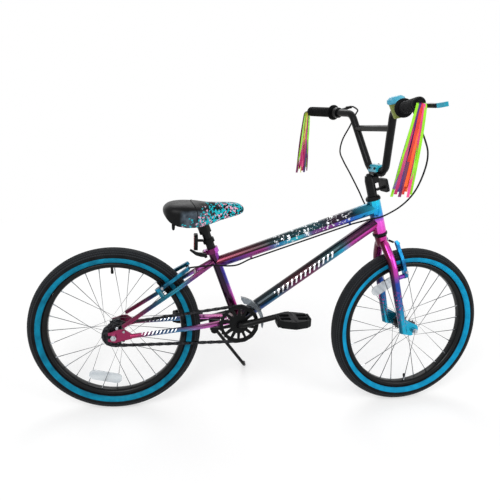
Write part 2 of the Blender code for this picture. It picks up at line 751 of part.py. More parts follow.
def spoked_hub(flange_y, dropout_y, freewheel):
    """Return a hub shell whose flanges carry the crossed spokes, all one body."""
    bore = socket(AXLE_RADIUS, RUN_GAP, 2 * SPOKE_PAIRS)
    end = dropout_y - SEAT_GAP
    band = SPOKE_BAND
    boss = FREEWHEEL_BOSS if freewheel else 0.0105
    flanges = []
    for sign in (1.0, -1.0):
        flanges.append([sign * (flange_y - band), sign * flange_y, sign * (flange_y + band)])
    outline = [(HUB_SHELL_RADIUS, flanges[0][0])]
    outline += [(FLANGE_RADIUS, height) for height in flanges[0]]
    outline += [(0.0105, flanges[0][2]), (0.0090, end), (bore, end), (bore, -end), (0.0090, -end)]
    if freewheel:
        outline += [(0.0090, -end + 0.005), (boss, -end + 0.005)]
    outline += [(boss, flanges[1][2])]
    outline += [(FLANGE_RADIUS, height) for height in flanges[1][::-1]]
    outline += [(HUB_SHELL_RADIUS, flanges[1][0])]
    count = 2 * SPOKE_PAIRS
    mesh = turned(outline, (0, 0, 0), LATERAL, count)
    mesh.faces.ensure_lookup_table()
    reach = RIM_INNER_RADIUS * math.cos(math.pi / WHEEL_SEGMENTS) - SEAT_GAP
    swing = SPOKE_CROSSINGS * math.tau / SPOKE_PAIRS
    bands = {}
    for face in mesh.faces:
        middle = face.calc_center_median()
        radius = math.hypot(middle.x, middle.z)
        if all(abs(math.hypot(v.co.x, v.co.z) - FLANGE_RADIUS) < 1e-6 for v in face.verts):
            angle = math.atan2(middle.z, middle.x) % math.tau
            bands.setdefault(round(middle.y, 5), []).append((angle, radius, face))
    for order, height in enumerate(sorted(bands)):
        leading = order % 2 == 0
        ring = sorted(bands[height], key=lambda item: item[0])
        start = (0 if leading else 2) + (1 if order > 1 else 0)
        for index in range(start, count, 4):
            angle, radius, face = ring[index]
            sense = 1.0 if leading else -1.0
            grow_spoke(mesh, face, angle, radius, height, sense * swing, reach)
    return mesh


def grow_spoke(mesh, face, angle, radius, height, swing, reach):
    """Draw one spoke out of a flange face to the inside of the rim."""
    half = SPOKE_THICKNESS / 2.0
    side = math.copysign(1.0, height)
    leading, trailing = SPOKE_LEANS
    lean = leading if swing > 0.0 else trailing
    stub = polar(angle, radius + SPOKE_STUB, height)
    tip = polar(angle + swing, reach, side * lean)
    out = polar(angle, 1.0, 0.0)
    across = (tip - stub).cross(LATERAL).normalized()
    across *= math.copysign(1.0, across.dot(out))
    for centre, broad in ((stub, out.cross(LATERAL)), (tip, across)):
        made = bmesh.ops.extrude_discrete_faces(mesh, faces=[face])
        face = made["faces"][0]
        middle = face.calc_center_median()
        for vert in face.verts:
            offset = vert.co - middle
            level = math.copysign(half, offset.y)
            other = math.copysign(half, offset.dot(broad))
            vert.co = centre + level * LATERAL + other * broad


def polar(angle, radius, height):
    """Return a point round the wheel's axis."""
    return Vector((radius * math.cos(angle), height, radius * math.sin(angle)))


def wheel_reflector(name, centre):
    """Build the clear reflector that clips between two spokes."""
    half, wide = WHEEL_REFLECTOR_LENGTH / 2.0, WHEEL_REFLECTOR_WIDTH / 2.0
    outline = arc_points((half - wide * 0.5, 0.0), wide, -90.0, 90.0, 5)
    outline += arc_points((-half + wide * 0.5, 0.0), wide, 90.0, 270.0, 5)
    turn = WHEEL_REFLECTOR_TURNS[name]
    out, along = polar(turn, 1.0, 0.0), polar(turn + math.pi / 2.0, 1.0, 0.0)

    def place(u, v, depth):
        return (WHEEL_REFLECTOR_RADIUS + v) * out + u * along + depth * LATERAL

    mesh = plate(outline, [], place, -WHEEL_REFLECTOR_HALF, WHEEL_REFLECTOR_HALF)
    piece(f"{name}_spoke_reflector", mesh, "clear_reflector", centre)


WHEEL_REFLECTOR_TURNS = {"front": math.radians(104.0), "rear": math.radians(-102.0)}


def axle(name, parent, centre, dropout_y):
    """Build a wheel axle with its two hexagon nuts."""
    face = dropout_y + DROPOUT_THICKNESS + SEAT_GAP
    levels = [(-face - NUT_HEIGHT - 0.006, AXLE_RADIUS, False), (-face - NUT_HEIGHT, AXLE_RADIUS, False)]
    levels += [(-face - NUT_HEIGHT, NUT_RADIUS, True), (-face, NUT_RADIUS, True), (-face, AXLE_RADIUS, False)]
    levels += [(-height, radius, nut) for height, radius, nut in levels[::-1]]
    rings = []
    for height, radius, nut in levels:
        ring = []
        for index in range(12):
            reach = radius * (math.cos(math.pi / 6.0) if nut and index % 2 else 1.0)
            ring.append(Vector(centre) + polar(math.tau * index / 12, reach, height))
        rings.append(ring)
    piece(name, skin(rings), "silver_steel", parent)


def pitch_radius(teeth):
    """Return the radius of the chain's pin circle on a sprocket."""
    return CHAIN_PITCH / (2.0 * math.sin(math.pi / teeth))


def toothed(teeth, bore, place, low, high, windows=()):
    """Return a toothed plate for the chain, with a round bore and any windows."""
    pitch = pitch_radius(teeth)
    step = math.tau / teeth
    shape = ((0.0, pitch - TOOTH_ROOT), (0.38, pitch + TOOTH_TIP), (0.62, pitch + TOOTH_TIP))
    outline = []
    for tooth in range(teeth):
        for share, radius in shape:
            angle = step * (tooth + share)
            outline.append((radius * math.cos(angle), radius * math.sin(angle)))
    hole = arc_points((0.0, 0.0), bore, 0.0, 360.0 - 360.0 / BORE_SIDES, BORE_SIDES - 1)
    return plate(outline, [hole, *windows], place, low, high)


def cog(centre):
    """Build the freewheel cog that turns on the rear hub's boss."""
    low, high = CHAIN_LINE - TOOTH_PLATE / 2.0, CHAIN_LINE + TOOTH_PLATE / 2.0
    bore = socket(FREEWHEEL_BOSS, RUN_GAP, BORE_SIDES)
    outside = bore + FREEWHEEL_WALL
    seat = bore + FREEWHEEL_WALL / 2.0
    mesh = toothed(COG_TEETH, seat, side_on(RIGHT), low, high)
    made = piece("freewheel_cog", mesh, "dark_steel", centre)
    near, far = (-CHAIN_LINE + reach for reach in FREEWHEEL_SPAN)
    body = [(bore, near), (outside, near), (outside, far), (bore, far)]
    join(made, turned(body, (0, 0, 0), LATERAL, BORE_SIDES), "body")


def chain_path():
    """Return the chain's pin line as (x, z, tangent angle, distance from a straight run's ends)."""
    small, large = pitch_radius(COG_TEETH), pitch_radius(RING_TEETH)
    line = BRACKET - REAR_HUB
    apart = math.hypot(line.x, line.z)
    slope = math.atan2(line.z, line.x)
    dip = math.asin((large - small) / apart)
    straight = math.sqrt(apart * apart - (large - small) ** 2)
    upper, lower = slope + math.pi / 2.0 + dip, slope - math.pi / 2.0 - dip
    front_wrap, rear_wrap = math.pi + 2.0 * dip, math.pi - 2.0 * dip
    total = 2.0 * straight + large * front_wrap + small * rear_wrap
    links = 2 * round(total / CHAIN_PITCH / 2.0)
    stations = []
    for index in range(links):
        run = total * index / links
        if run < straight:
            angle = upper
            spot = REAR_HUB + polar(angle, small, 0.0) + polar(angle - math.pi / 2.0, run, 0.0)
            inside = min(run, straight - run)
        elif run < straight + large * front_wrap:
            angle = upper - (run - straight) / large
            spot = BRACKET + large * polar(angle, 1.0, 0.0)
            inside = -1.0
        elif run < 2.0 * straight + large * front_wrap:
            along = run - straight - large * front_wrap
            angle = lower
            spot = BRACKET + polar(angle, large, 0.0) + polar(angle - math.pi / 2.0, along, 0.0)
            inside = min(along, straight - along)
        else:
            angle = lower - (run - 2.0 * straight - large * front_wrap) / small
            spot = REAR_HUB + small * polar(angle, 1.0, 0.0)
            inside = -1.0
        stations.append((spot, polar(angle, 1.0, 0.0), inside))
    return stations


def chain(bike):
    """Build the chain: two waisted side plates with rollers along both straight runs."""
    stations = chain_path()
    mesh = bmesh.new()
    sides = []
    for sign in (1.0, -1.0):
        near, far = (-CHAIN_LINE + sign * reach for reach in (PLATE_INNER, PLATE_OUTER))
        rings = []
        for index, (spot, out, _) in enumerate(stations):
            half = LINK_HALF if index % 2 == 0 else WAIST_HALF
            corners = ((half, near), (half, far), (-half, far), (-half, near))
            rings.append([mesh.verts.new(spot + reach * out + depth * LATERAL) for reach, depth in corners])
        inner = []
        for index, ring in enumerate(rings):
            after = rings[(index + 1) % len(rings)]
            for step in range(4):
                other = (step + 1) % 4
                face = mesh.faces.new((ring[step], ring[other], after[other], after[step]))
                if step == 3:
                    inner.append(face)
        sides.append(inner)
    for index, (one, two) in enumerate(zip(*sides)):
        clear = min(stations[index][2], stations[(index + 1) % len(stations)][2])
        if index % 2 == 0 and clear > ROLLER_CLEAR:
            here, there = list(one.verts), list(two.verts)
            mesh.faces.remove(one)
            mesh.faces.remove(two)
            for step in range(4):
                other = (step + 1) % 4
                mesh.faces.new((here[step], here[other], there[other], there[step]))
    piece("chain", mesh, "dark_steel", bike)


def ring_windows():
    """Return the drop-shaped windows that run through the chainring and its guard disc."""
    share = 360.0 / GUARD_WINDOWS
    holes = []
    for index in range(GUARD_WINDOWS):
        middle = share * index
        wide, slim = share * WINDOW_WIDE, share * WINDOW_SLIM
        window = arc_points((0.0, 0.0), GUARD_DISC_RADIUS * WINDOW_OUTER, middle - wide, middle + wide, 2)
        window += arc_points((0.0, 0.0), GUARD_DISC_RADIUS * WINDOW_INNER, middle + slim, middle - slim, 1)
        holes.append(window)
    return holes


def crank_set(crank):
    """Build the one-piece crank with pedal spindles, the chainring and its guard disc."""
    arm = polar(CRANK_ANGLE, CRANK_LENGTH, 0.0)
    tip = PEDAL_INNER + PEDAL_WIDTH - PEDAL_RECESS
    shoulder = PEDAL_INNER - RUN_GAP - SHOULDER_SHY
    corners = [
        arm - shoulder * LATERAL,
        arm - ARM_LINE * LATERAL,
        -ARM_LINE * LATERAL,
        ARM_LINE * LATERAL,
        -arm + ARM_LINE * LATERAL,
        -arm + shoulder * LATERAL,
    ]
    path = rounded_path(corners, ARM_BEND, ARM_BEND_STEPS)
    shape = [ARM_RADIUS] * len(path)
    middle = len(path) // 2
    near, far = path[middle - 1], path[middle]
    swell = [near + step * LATERAL for step in SWELL] + [far - step * LATERAL for step in SWELL[::-1]]
    path[middle:middle] = swell
    shape[middle:middle] = [ARM_RADIUS, SPINDLE_RADIUS, SPINDLE_RADIUS, ARM_RADIUS]
    root = shoulder + SHOULDER_STEP
    path = [arm - tip * LATERAL, arm - root * LATERAL, *path, root * LATERAL - arm, tip * LATERAL - arm]
    shape = [PEDAL_SPINDLE_RADIUS] * 2 + shape + [PEDAL_SPINDLE_RADIUS] * 2
    piece("crank", swept(path, shape, CRANK_SIDES), "black_steel", crank)

    low, high = CHAIN_LINE - TOOTH_PLATE / 2.0, CHAIN_LINE + TOOTH_PLATE / 2.0
    bore = socket(SPINDLE_RADIUS, SEAT_GAP, CRANK_SIDES)
    mesh = toothed(RING_TEETH, bore, side_on(RIGHT), low, high, ring_windows())
    piece("chainring", mesh, "dark_steel", crank)

    outline = arc_points((0.0, 0.0), GUARD_DISC_RADIUS, 0.0, 360.0 - 360.0 / DISC_SIDES, DISC_SIDES - 1)
    holes = [arc_points((0.0, 0.0), bore, 0.0, 360.0 - 360.0 / CRANK_SIDES, CRANK_SIDES - 1)]
    holes += ring_windows()
    face = CHAIN_LINE + PLATE_OUTER + RUN_GAP
    mesh = plate(outline, holes, side_on(RIGHT), face, face + DISC_THICKNESS)
    piece("chainring_guard", mesh, "black_plastic", crank)


def pedal(name, side, spindle):
    """Build a platform pedal with open windows about its spindle's axis."""
    half, inner, outer = PEDAL_LENGTH / 2.0, PEDAL_INNER, PEDAL_INNER + PEDAL_WIDTH
    right_side = [
        (half - 0.013, inner + 0.010),
        (half, inner + 0.022),
        (half, outer - 0.026),
        (half - 0.013, outer - 0.012),
    ]
    outline = [(0.0, inner), *right_side, (0.0, outer), *[(-u, v) for u, v in right_side[::-1]]]
    rail, barrel, rib = 0.009, 0.0105, 0.005
    middle = (inner + outer) / 2.0
    holes = []
    for sx in (1, -1):
        for low, high in ((inner + 4.0 * rib, middle - rib / 2.0), (middle + rib / 2.0, outer - 4.0 * rib)):
            near, far = sx * barrel, sx * (half - rail)
            holes.append([(near, low), (far, low), (far, high), (near, high)])

    def place(u, v, depth):
        return Vector((u, side * v, depth))

    mesh = plate(outline, holes, place, -PEDAL_THICKNESS / 2.0, PEDAL_THICKNESS / 2.0)
    made = piece(f"pedal_{name}", mesh, "black_plastic", spindle)
    past = 0.004
    bore = PEDAL_SPINDLE_RADIUS + RUN_GAP
    ends = (Vector((0.0, side * (inner - past), 0.0)), Vector((0.0, side * (outer + past), 0.0)))
    cut(made, rod(*ends, bore, 12), "bore")


def chain_guard(bike):
    """Build the smoky crescent that covers the top and front of the chainring."""
    rings = []
    steps = 12
    for step in range(steps + 1):
        share = step / steps
        angle = GUARD_START + (GUARD_END - GUARD_START) * share
        outside = GUARD_TOP_RADIUS + (GUARD_FRONT_RADIUS - GUARD_TOP_RADIUS) * share
        inset = GUARD_INNER_RADIUS + (outside - GUARD_INNER_RADIUS) * (0.10 if 0 < step < steps else 0.72)
        under = outside - GUARD_WALL
        profile = [
            (inset, -GUARD_FACE),
            (outside, -GUARD_FACE),
            (outside, -GUARD_LIP),
            (under, -GUARD_LIP),
            (under, -GUARD_FACE + GUARD_WALL),
            (inset, -GUARD_FACE + GUARD_WALL),
        ]
        rings.append([BRACKET + polar(angle, radius, height) for radius, height in profile])
    guard = piece("chain_guard", skin(rings), "smoke_plastic", bike)
    foot = BRACKET - Vector((0.0, 0.0, DOWN_TUBE_DROP))
    line = head_point(DOWN_TUBE_HEAD) - foot
    rise = math.atan2(line.z, line.x)
    share = (rise - GUARD_START) / (GUARD_END - GUARD_START)
    outside = GUARD_TOP_RADIUS + (GUARD_FRONT_RADIUS - GUARD_TOP_RADIUS) * share
    centre = foot + polar(rise, outside - GUARD_WALL, 0.0)
    start = centre - (DOWN_TUBE_RADIUS + SEAT_GAP) * LATERAL
    join(guard, rod(start, centre - (GUARD_LIP + 0.006) * LATERAL, GUARD_STUD, 8), "stud")


def kickstand(bike, ground):
    """Build the kickstand bracket under the chain stays and the leg that folds on it."""
    pivot = Vector(KICK_PIVOT)
    top = chain_stay_height(pivot.x - KICK_PLATE_HALF) - CHAIN_STAY_RADIUS - SEAT_GAP
    lug_inner, lug_outer = pivot.y - 0.016, pivot.y - SEAT_GAP
    wide = STAY_BEND[1]
    base = box((pivot.x - KICK_PLATE_HALF, -wide, top - 0.006), (pivot.x + KICK_PLATE_HALF, wide, top))
    bracket = piece("kickstand_bracket", base, "black_steel", bike)
    lug_radius = 0.012
    outline = arc_points((pivot.x, pivot.z), lug_radius, 180.0, 360.0, 8)
    outline += [(pivot.x + lug_radius, top - 0.003), (pivot.x - lug_radius, top - 0.003)]
    join(bracket, plate(outline, [], side_on(LEFT), lug_inner, lug_outer), "lug")
    pin = 0.0045
    head_length = 0.014
    ends = ((pivot.x, lug_inner + 0.002, pivot.z), (pivot.x, pivot.y + head_length, pivot.z))
    join(bracket, rod(*ends, pin, 12), "pin")

    stand = empty("kickstand", bike, Matrix.Translation(pivot))
    foot_x, foot_y = KICK_FOOT
    foot = Vector((foot_x, foot_y, ground(foot_x, foot_y) + KICK_RADIUS))
    middle = pivot.y + head_length / 2.0
    corners = [(pivot.x + 0.004, middle, pivot.z - 0.006), KICK_KNEE, foot]
    path = [point - pivot for point in rounded_path(corners, 0.03, 4)]
    leg = piece("kickstand_leg", swept(path, [KICK_RADIUS] * len(path), 10), "black_steel", stand)
    head = rod((0.0, 0.0, 0.0), (0.0, head_length, 0.0), 0.0115, 14)
    join(leg, head, "head")
    cut(leg, rod((0.0, -0.004, 0.0), (0.0, head_length + 0.004, 0.0), pin + RUN_GAP, 12), "eye")
    return leg


def seat_group(seat):
    """Build the seatpost, saddle clamp, saddle and rear reflector."""
    ends = (seat_point(POST_LOW), seat_point(POST_HIGH))
    piece("seatpost", mitred_tube(*ends, (POST_RADIUS, POST_RADIUS), POST_WALL, 16), "black_steel", seat)
    bore = socket(POST_RADIUS, SEAT_GAP, 16)
    low, top = POST_HIGH - 0.024, POST_HIGH + SEAT_GAP
    outside = bore + 0.0045
    shell = [
        (bore, low),
        (outside, low),
        (outside, top + 0.004),
        (PIN_HOLE, top + 0.004),
        (PIN_HOLE, top),
        (bore, top),
    ]
    clamp = piece("saddle_clamp", turned(shell, BRACKET, SEAT_AXIS, 16), "black_steel", seat)
    rise = SADDLE_BASE - SEAT_GAP - SADDLE_BARREL - BRACKET_Z
    barrel = seat_point(rise / math.sin(SEAT_ANGLE))
    join(clamp, rod(barrel - 0.023 * LATERAL, barrel + 0.023 * LATERAL, SADDLE_BARREL, 12), "barrel")
    saddle(seat)

    ring_centre = seat_point(SEAT_TUBE_LENGTH + REFLECTOR_ABOVE_TUBE)
    profile = [(bore, -0.006), (bore + 0.004, -0.006), (bore + 0.004, 0.006), (bore, 0.006)]
    reflector = piece("rear_reflector", turned(profile, ring_centre, SEAT_AXIS, 16), "red_reflector", seat)
    half = REFLECTOR_SIZE / 2.0
    face = ring_centre.x - 0.033
    near = (face, -0.006, ring_centre.z - 0.003)
    far = (ring_centre.x - bore - 0.0028, 0.006, ring_centre.z + 0.003)
    join(reflector, box(near, far), "arm")
    corner = 0.010
    outline = []
    for sy, sz, start in ((1, 1, 0.0), (-1, 1, 90.0), (-1, -1, 180.0), (1, -1, 270.0)):
        outline += arc_points((sy * (half - corner), sz * (half - corner)), corner, start, start + 90.0, 3)
    middle = ring_centre.z - 0.004

    def place(u, v, depth):
        return Vector((depth, u, middle + v))

    join(reflector, plate(outline, [], place, face - REFLECTOR_DEPTH, face + 0.001), "plate")


def saddle(seat):
    """Build the padded saddle: a crowned top, drawn-in sides and a skirt round its base."""
    length = SADDLE_NOSE - SADDLE_REAR
    stations = (
        (0.00, 0.42, -0.020, 0.030), (0.05, 0.80, -0.006, 0.004), (0.14, 0.98, 0.000, -0.010),
        (0.28, 1.00, 0.001, -0.013), (0.42, 0.86, -0.003, -0.012), (0.55, 0.58, -0.005, -0.008),
        (0.68, 0.42, -0.004, 0.000), (0.82, 0.36, -0.001, 0.008), (0.94, 0.29, -0.003, 0.014),
        (1.00, 0.13, -0.016, 0.022),
    )
    rings = []
    for share, breadth, crest, skirt in stations:
        x = SADDLE_REAR + share * length
        half = SADDLE_HALF_WIDTH * breadth
        top = SADDLE_TOP + crest
        hem = SADDLE_BASE + skirt
        base = max(hem, SADDLE_BASE) if share < 0.7 else hem
        base = min(base, top - 0.012)
        rise = top - hem
        profile = [(0.0, base), (0.55 * half, base)]
        profile += [(wide * half, hem + tall * rise) for wide, tall in SADDLE_SIDE]
        ring = [Vector((x, y, z)) for y, z in profile] + [Vector((x, 0.0, top))]
        ring += [Vector((x, -y, z)) for y, z in profile[:0:-1]]
        rings.append(ring)
    piece("saddle", skin(rings), "black_vinyl", seat)


def seat_clamp(bike):
    """Build the seat clamp and its quick-release lever."""
    bore = socket(SEAT_TUBE_RADIUS, SEAT_GAP, CLAMP_SIDES)
    low = SEAT_TUBE_LENGTH - CLAMP_HEIGHT
    profile = [(bore, low), (CLAMP_RADIUS, low), (CLAMP_RADIUS, SEAT_TUBE_LENGTH), (bore, SEAT_TUBE_LENGTH)]
    clamp = piece("seat_clamp", turned(profile, BRACKET, SEAT_AXIS, CLAMP_SIDES), "candy_magenta", bike)
    ahead = Vector((math.sin(SEAT_ANGLE), 0.0, math.cos(SEAT_ANGLE)))
    middle = seat_point(SEAT_TUBE_LENGTH - CLAMP_HEIGHT / 2.0) - ahead * (CLAMP_RADIUS + 0.004)
    join(clamp, rod(middle - 0.0125 * LATERAL, middle + 0.0125 * LATERAL, CLAMP_HEIGHT / 2.0, 12), "ears")
    bolt_end = 0.0260
    join(clamp, rod(middle - bolt_end * LATERAL, middle + 0.0165 * LATERAL, 0.0030, 10), "bolt")
    pivot = middle - (bolt_end + SEAT_GAP + CAM_RADIUS) * LATERAL
    turn = Matrix((ahead, LATERAL, SEAT_AXIS)).transposed().to_4x4()
    carrier = empty("seat_clamp_lever_axis", bike, Matrix.Translation(pivot) @ turn)
    outline = [(0.0, -BLADE_FOOT), (0.0, BLADE_FOOT), (-0.006, 0.0110), (-0.020, 0.0180), (-0.0335, 0.0335)]
    outline += [(-0.0375, 0.0300), (-0.026, 0.0110), (-0.013, 0.0010)]

    def place(u, v, depth):
        return Vector((u, depth, v))

    blade = plate(outline, [], place, -BLADE_HALF, BLADE_HALF)
    lever = piece("seat_clamp_lever", blade, "black_steel", carrier)
    cam = Vector((0.0, 0.0, CAM_HALF))
    join(lever, rod(-cam, cam, CAM_RADIUS, 12), "cam")


def fork(steering):
    """Build the fork: a hollow steerer on a unicrown pair of legs with forward dropouts."""
    corners = [
        (FORK_TIP_X, -FORK_TIP_Y, FORK_TIP_Z),
        (-0.002, -FORK_LEG_Y, FORK_SHOULDER),
        (0.0, -0.016, FORK_CROWN),
        (0.0, 0.016, FORK_CROWN),
        (-0.002, FORK_LEG_Y, FORK_SHOULDER),
        (FORK_TIP_X, FORK_TIP_Y, FORK_TIP_Z),
    ]
    path = rounded_path(corners, 0.022, 2)
    radii = [FORK_LEG_RADIUS] * len(path)
    radii[0] = radii[-1] = FORK_TIP_RADIUS
    made = piece("fork", swept(path, radii, 12), "candy_magenta", steering)
    race = HEAD_LOW - HEADSET_HEIGHT - RUN_GAP
    top = HEAD_HIGH + HEADSET_HEIGHT - 0.001
    profile = [
        (STEERER_BORE, FORK_CROWN - 0.006),
        (STEERER_RADIUS + 0.004, FORK_CROWN - 0.006),
        (STEERER_RADIUS + 0.006, race),
        (STEERER_RADIUS, race),
        (STEERER_RADIUS, top),
        (STEERER_BORE, top),
    ]
    join(made, turned(profile, (0, 0, 0), (0, 0, 1), STEERER_SIDES), "steerer")
    slot = AXLE_RADIUS + SEAT_GAP
    outline = arc_points((FORK_RAKE, 0.0), slot, 0.0, 180.0, 6)
    outline += [(FORK_RAKE - slot, -0.014), (FORK_RAKE - 0.013, -0.014)]
    outline += [(FORK_TIP_X - 0.006, FORK_TIP_Z - 0.004)]
    outline += [(FORK_TIP_X - 0.004, FORK_TIP_Z + 0.034), (FORK_TIP_X + 0.014, FORK_TIP_Z + 0.040)]
    outline += arc_points((FORK_RAKE, 0.004), 0.0165, 70.0, -30.0, 5)
    outline += [(FORK_RAKE + slot + 0.006, -0.014), (FORK_RAKE + slot, -0.014)]
    for name, side in SIDES:
        blade = plate(outline, [], side_on(side), FRONT_DROPOUT_Y, FRONT_DROPOUT_Y + DROPOUT_THICKNESS)
        join(made, blade, f"dropout_{name}")
        seat, tip, root = front_boss(side)
        join(made, rod(root, seat, BRAKE_BOSS_RADIUS * 1.7, 10), f"boss_{name}")
        join(made, rod(root, tip, BRAKE_BOSS_RADIUS, 10), f"pin_{name}")
    axle("front_axle", steering, (FORK_RAKE, 0.0, 0.0), FRONT_DROPOUT_Y)


def front_boss(side):
    """Return the seat, tip and root of a front brake boss in the steering frame."""
    share = FRONT_PIVOT_Z / FORK_SHOULDER
    y = side * (FORK_TIP_Y + (FORK_LEG_Y - FORK_TIP_Y) * share)
    root = Vector((FORK_LEG_RADIUS - 0.006, y, FRONT_PIVOT_Z))
    seat = Vector((BRAKE_STANDOFF - BRAKE_ARM_THICKNESS / 2.0 - RUN_GAP, y, FRONT_PIVOT_Z))
    tip = Vector((BRAKE_STANDOFF + BRAKE_ARM_THICKNESS / 2.0, y, FRONT_PIVOT_Z))
    return seat, tip, root


def brake_arm(name, side, carrier, half_space, rim_centre):
    """Build a brake arm with its pad; local x is along the boss, z along the arm, y to the left.

    The rim's centre is given as (x, z) in the same frame, so that the pad lies along the rim.
    """
    depth = BRAKE_ARM_THICKNESS / 2.0
    top = BRAKE_ARM_LENGTH
    outer = arc_points((0.0, 0.0), 0.0085, 180.0, 360.0, 6)
    outer += [(0.0090, 0.020), (0.0060, 0.052), (-0.0040, 0.082), (-0.0090, top), (-0.0190, top + 0.004),
              (-0.0200, top - 0.006), (-0.0140, 0.082), (-0.0045, 0.048), (-0.0085, 0.020)]
    hole = arc_points((0.0, 0.0), BRAKE_BOSS_RADIUS + RUN_GAP, 0.0, 330.0, 11)

    def place(u, v, along):
        return Vector((along, side * u, v))

    arm = piece(f"{name}", plate(outer, [hole], place, -depth, depth), "blue_anodised", carrier)
    pad_face = half_space - RIM_HALF_WIDTH - PAD_GAP
    pad_back = pad_face - 0.012
    half, high = PAD_LENGTH / 2.0, PAD_HEIGHT / 2.0
    shoe = [(-half, -high), (half, -high), (half, high), (-half, high)]
    shift = max(min(rim_centre[0], PAD_SHIFT), -PAD_SHIFT)
    turn = math.atan2(rim_centre[0] - shift, PAD_RISE - rim_centre[1])

    def across(u, v, inward):
        x = shift + u * math.cos(turn) - v * math.sin(turn)
        z = PAD_RISE + u * math.sin(turn) + v * math.cos(turn)
        return Vector((x, side * -inward, z))

    join(arm, plate(shoe, [], across, pad_back, pad_face), "pad")
    stud_in = Vector((0.0, -side * (pad_back + 0.003), PAD_RISE))
    stud_out = Vector((0.0, side * 0.0125, PAD_RISE))
    join(arm, rod(stud_in, stud_out, 0.0042, 8), "stud")


def brakes(bike, steering):
    """Place the four brake arms on their bosses."""
    for name, side in SIDES:
        seat, _, _ = front_boss(side)
        centre = Vector((BRAKE_STANDOFF, seat.y, FRONT_PIVOT_Z))
        carrier = empty(f"front_brake_{name}_axis", steering, Matrix.Translation(centre))
        rim = (FORK_RAKE - BRAKE_STANDOFF, -FRONT_PIVOT_Z)
        brake_arm(f"front_brake_arm_{name}", side, carrier, abs(seat.y), rim)

        centre = stay_point(REAR_PIVOT_ALONG, side) + BRAKE_STANDOFF * STAY_SQUARE
        turn = Matrix((-STAY_SQUARE, LATERAL, STAY_LINE)).transposed()
        carrier = empty(f"rear_brake_{name}_axis", bike, Matrix.Translation(centre) @ turn.to_4x4())
        below = REAR_HUB - centre
        rim = (-below.dot(STAY_SQUARE), below.dot(STAY_LINE))
        brake_arm(f"rear_brake_arm_{name}", side, carrier, abs(centre.y), rim)


def bar_corners():
    """Return the handlebar's corner points from the middle to the left end."""
    return [
        Vector((STEM_REACH, 0.0, STEM_RISE)),
        Vector((STEM_REACH, BAR_FOOT_HALF, STEM_RISE)),
        Vector((BAR_SHOULDER_REACH, BAR_SHOULDER_HALF, BAR_SHOULDER_RISE)),
        Vector((FLANGE_REACH, FLANGE_HALF_SPAN, FLANGE_RISE)),
        Vector((GRIP_END_REACH, GRIP_HALF_SPAN, GRIP_END_RISE)),
    ]


def bar_point(half_span):
    """Return the point on the left bar's end run at a half span, and its direction outward."""
    corners = bar_corners()
    for start, end in zip(corners[2:], corners[3:]):
        if half_span <= end.y or end is corners[-1]:
            along = (end - start).normalized()
            return start + along * ((half_span - start.y) / along.y), along
    return corners[-1], Vector((0.0, 1.0, 0.0))


def mirrored(vector, side):
    """Return a left-hand vector, or its mirror image on the right."""
    return Vector((vector.x, side * vector.y, vector.z))


def handlebar(steering):
    """Build the stem, its cap, the handlebar and what is clamped to it."""
    foot = HEAD_HIGH + HEADSET_HEIGHT + RUN_GAP
    profile = [
        (QUILL_BORE, QUILL_LOW),
        (QUILL_RADIUS, QUILL_LOW),
        (QUILL_RADIUS, foot),
        (STEM_BODY_RADIUS, foot),
        (STEM_BODY_RADIUS, STEM_RISE - 0.022),
        (STEM_BODY_RADIUS - 0.003, STEM_RISE - 0.008),
        (QUILL_BORE, STEM_RISE - 0.008),
    ]
    stem = piece("stem", turned(profile, (0, 0, 0), (0, 0, 1), STEM_SIDES), "black_steel", steering)
    half, outer, bore = STEM_CLAMP_HALF, STEM_CLAMP_RADIUS, BAR_RADIUS + SEAT_GAP
    low = (STEM_REACH, STEM_RISE - STEM_SPLIT)
    cradle = arc_points(low, outer, 180.0, 360.0, 7)
    cradle += [(STEM_REACH + bore, low[1])]
    cradle += arc_points((STEM_REACH, STEM_RISE), bore, 340.0, 200.0, 6)
    cradle += [(STEM_REACH - bore, low[1])]
    join(stem, plate(cradle, [], side_on(LEFT), -half, half), "cradle")
    neck = box((0.002, -0.0130, STEM_RISE - 0.034), (STEM_REACH - 0.006, 0.0130, STEM_RISE - 0.0145))
    join(stem, neck, "neck")
    cap = arc_points((STEM_REACH, STEM_RISE), outer, 0.0, 180.0, 7)
    cap += arc_points((STEM_REACH, STEM_RISE), bore, 180.0, 0.0, 7)
    piece("stem_cap", plate(cap, [], side_on(LEFT), -half, half), "cyan_plastic", steering)

    corners = bar_corners()
    ends = [mirrored(corner, RIGHT) for corner in corners[:0:-1]] + corners[1:]
    path = rounded_path(ends, BAR_BEND, BAR_BEND_STEPS)
    mesh = swept(path, [BAR_RADIUS] * len(path), BAR_SIDES, BAR_WALL)
    bar = piece("handlebar", mesh, "black_steel", steering)
    upright = corners[2] - corners[1]
    share = (CROSSBAR_HEIGHT - corners[1].z) / upright.z
    reach = corners[1] + upright * share
    join(bar, rod(mirrored(reach, RIGHT), reach, CROSSBAR_RADIUS, 10), "crossbar")
    for name, side in SIDES:
        grip(name, side, steering)
        perch_and_lever(name, side, steering)
        streamers(name, side, steering)
    bell(steering)
    front_reflector(steering)


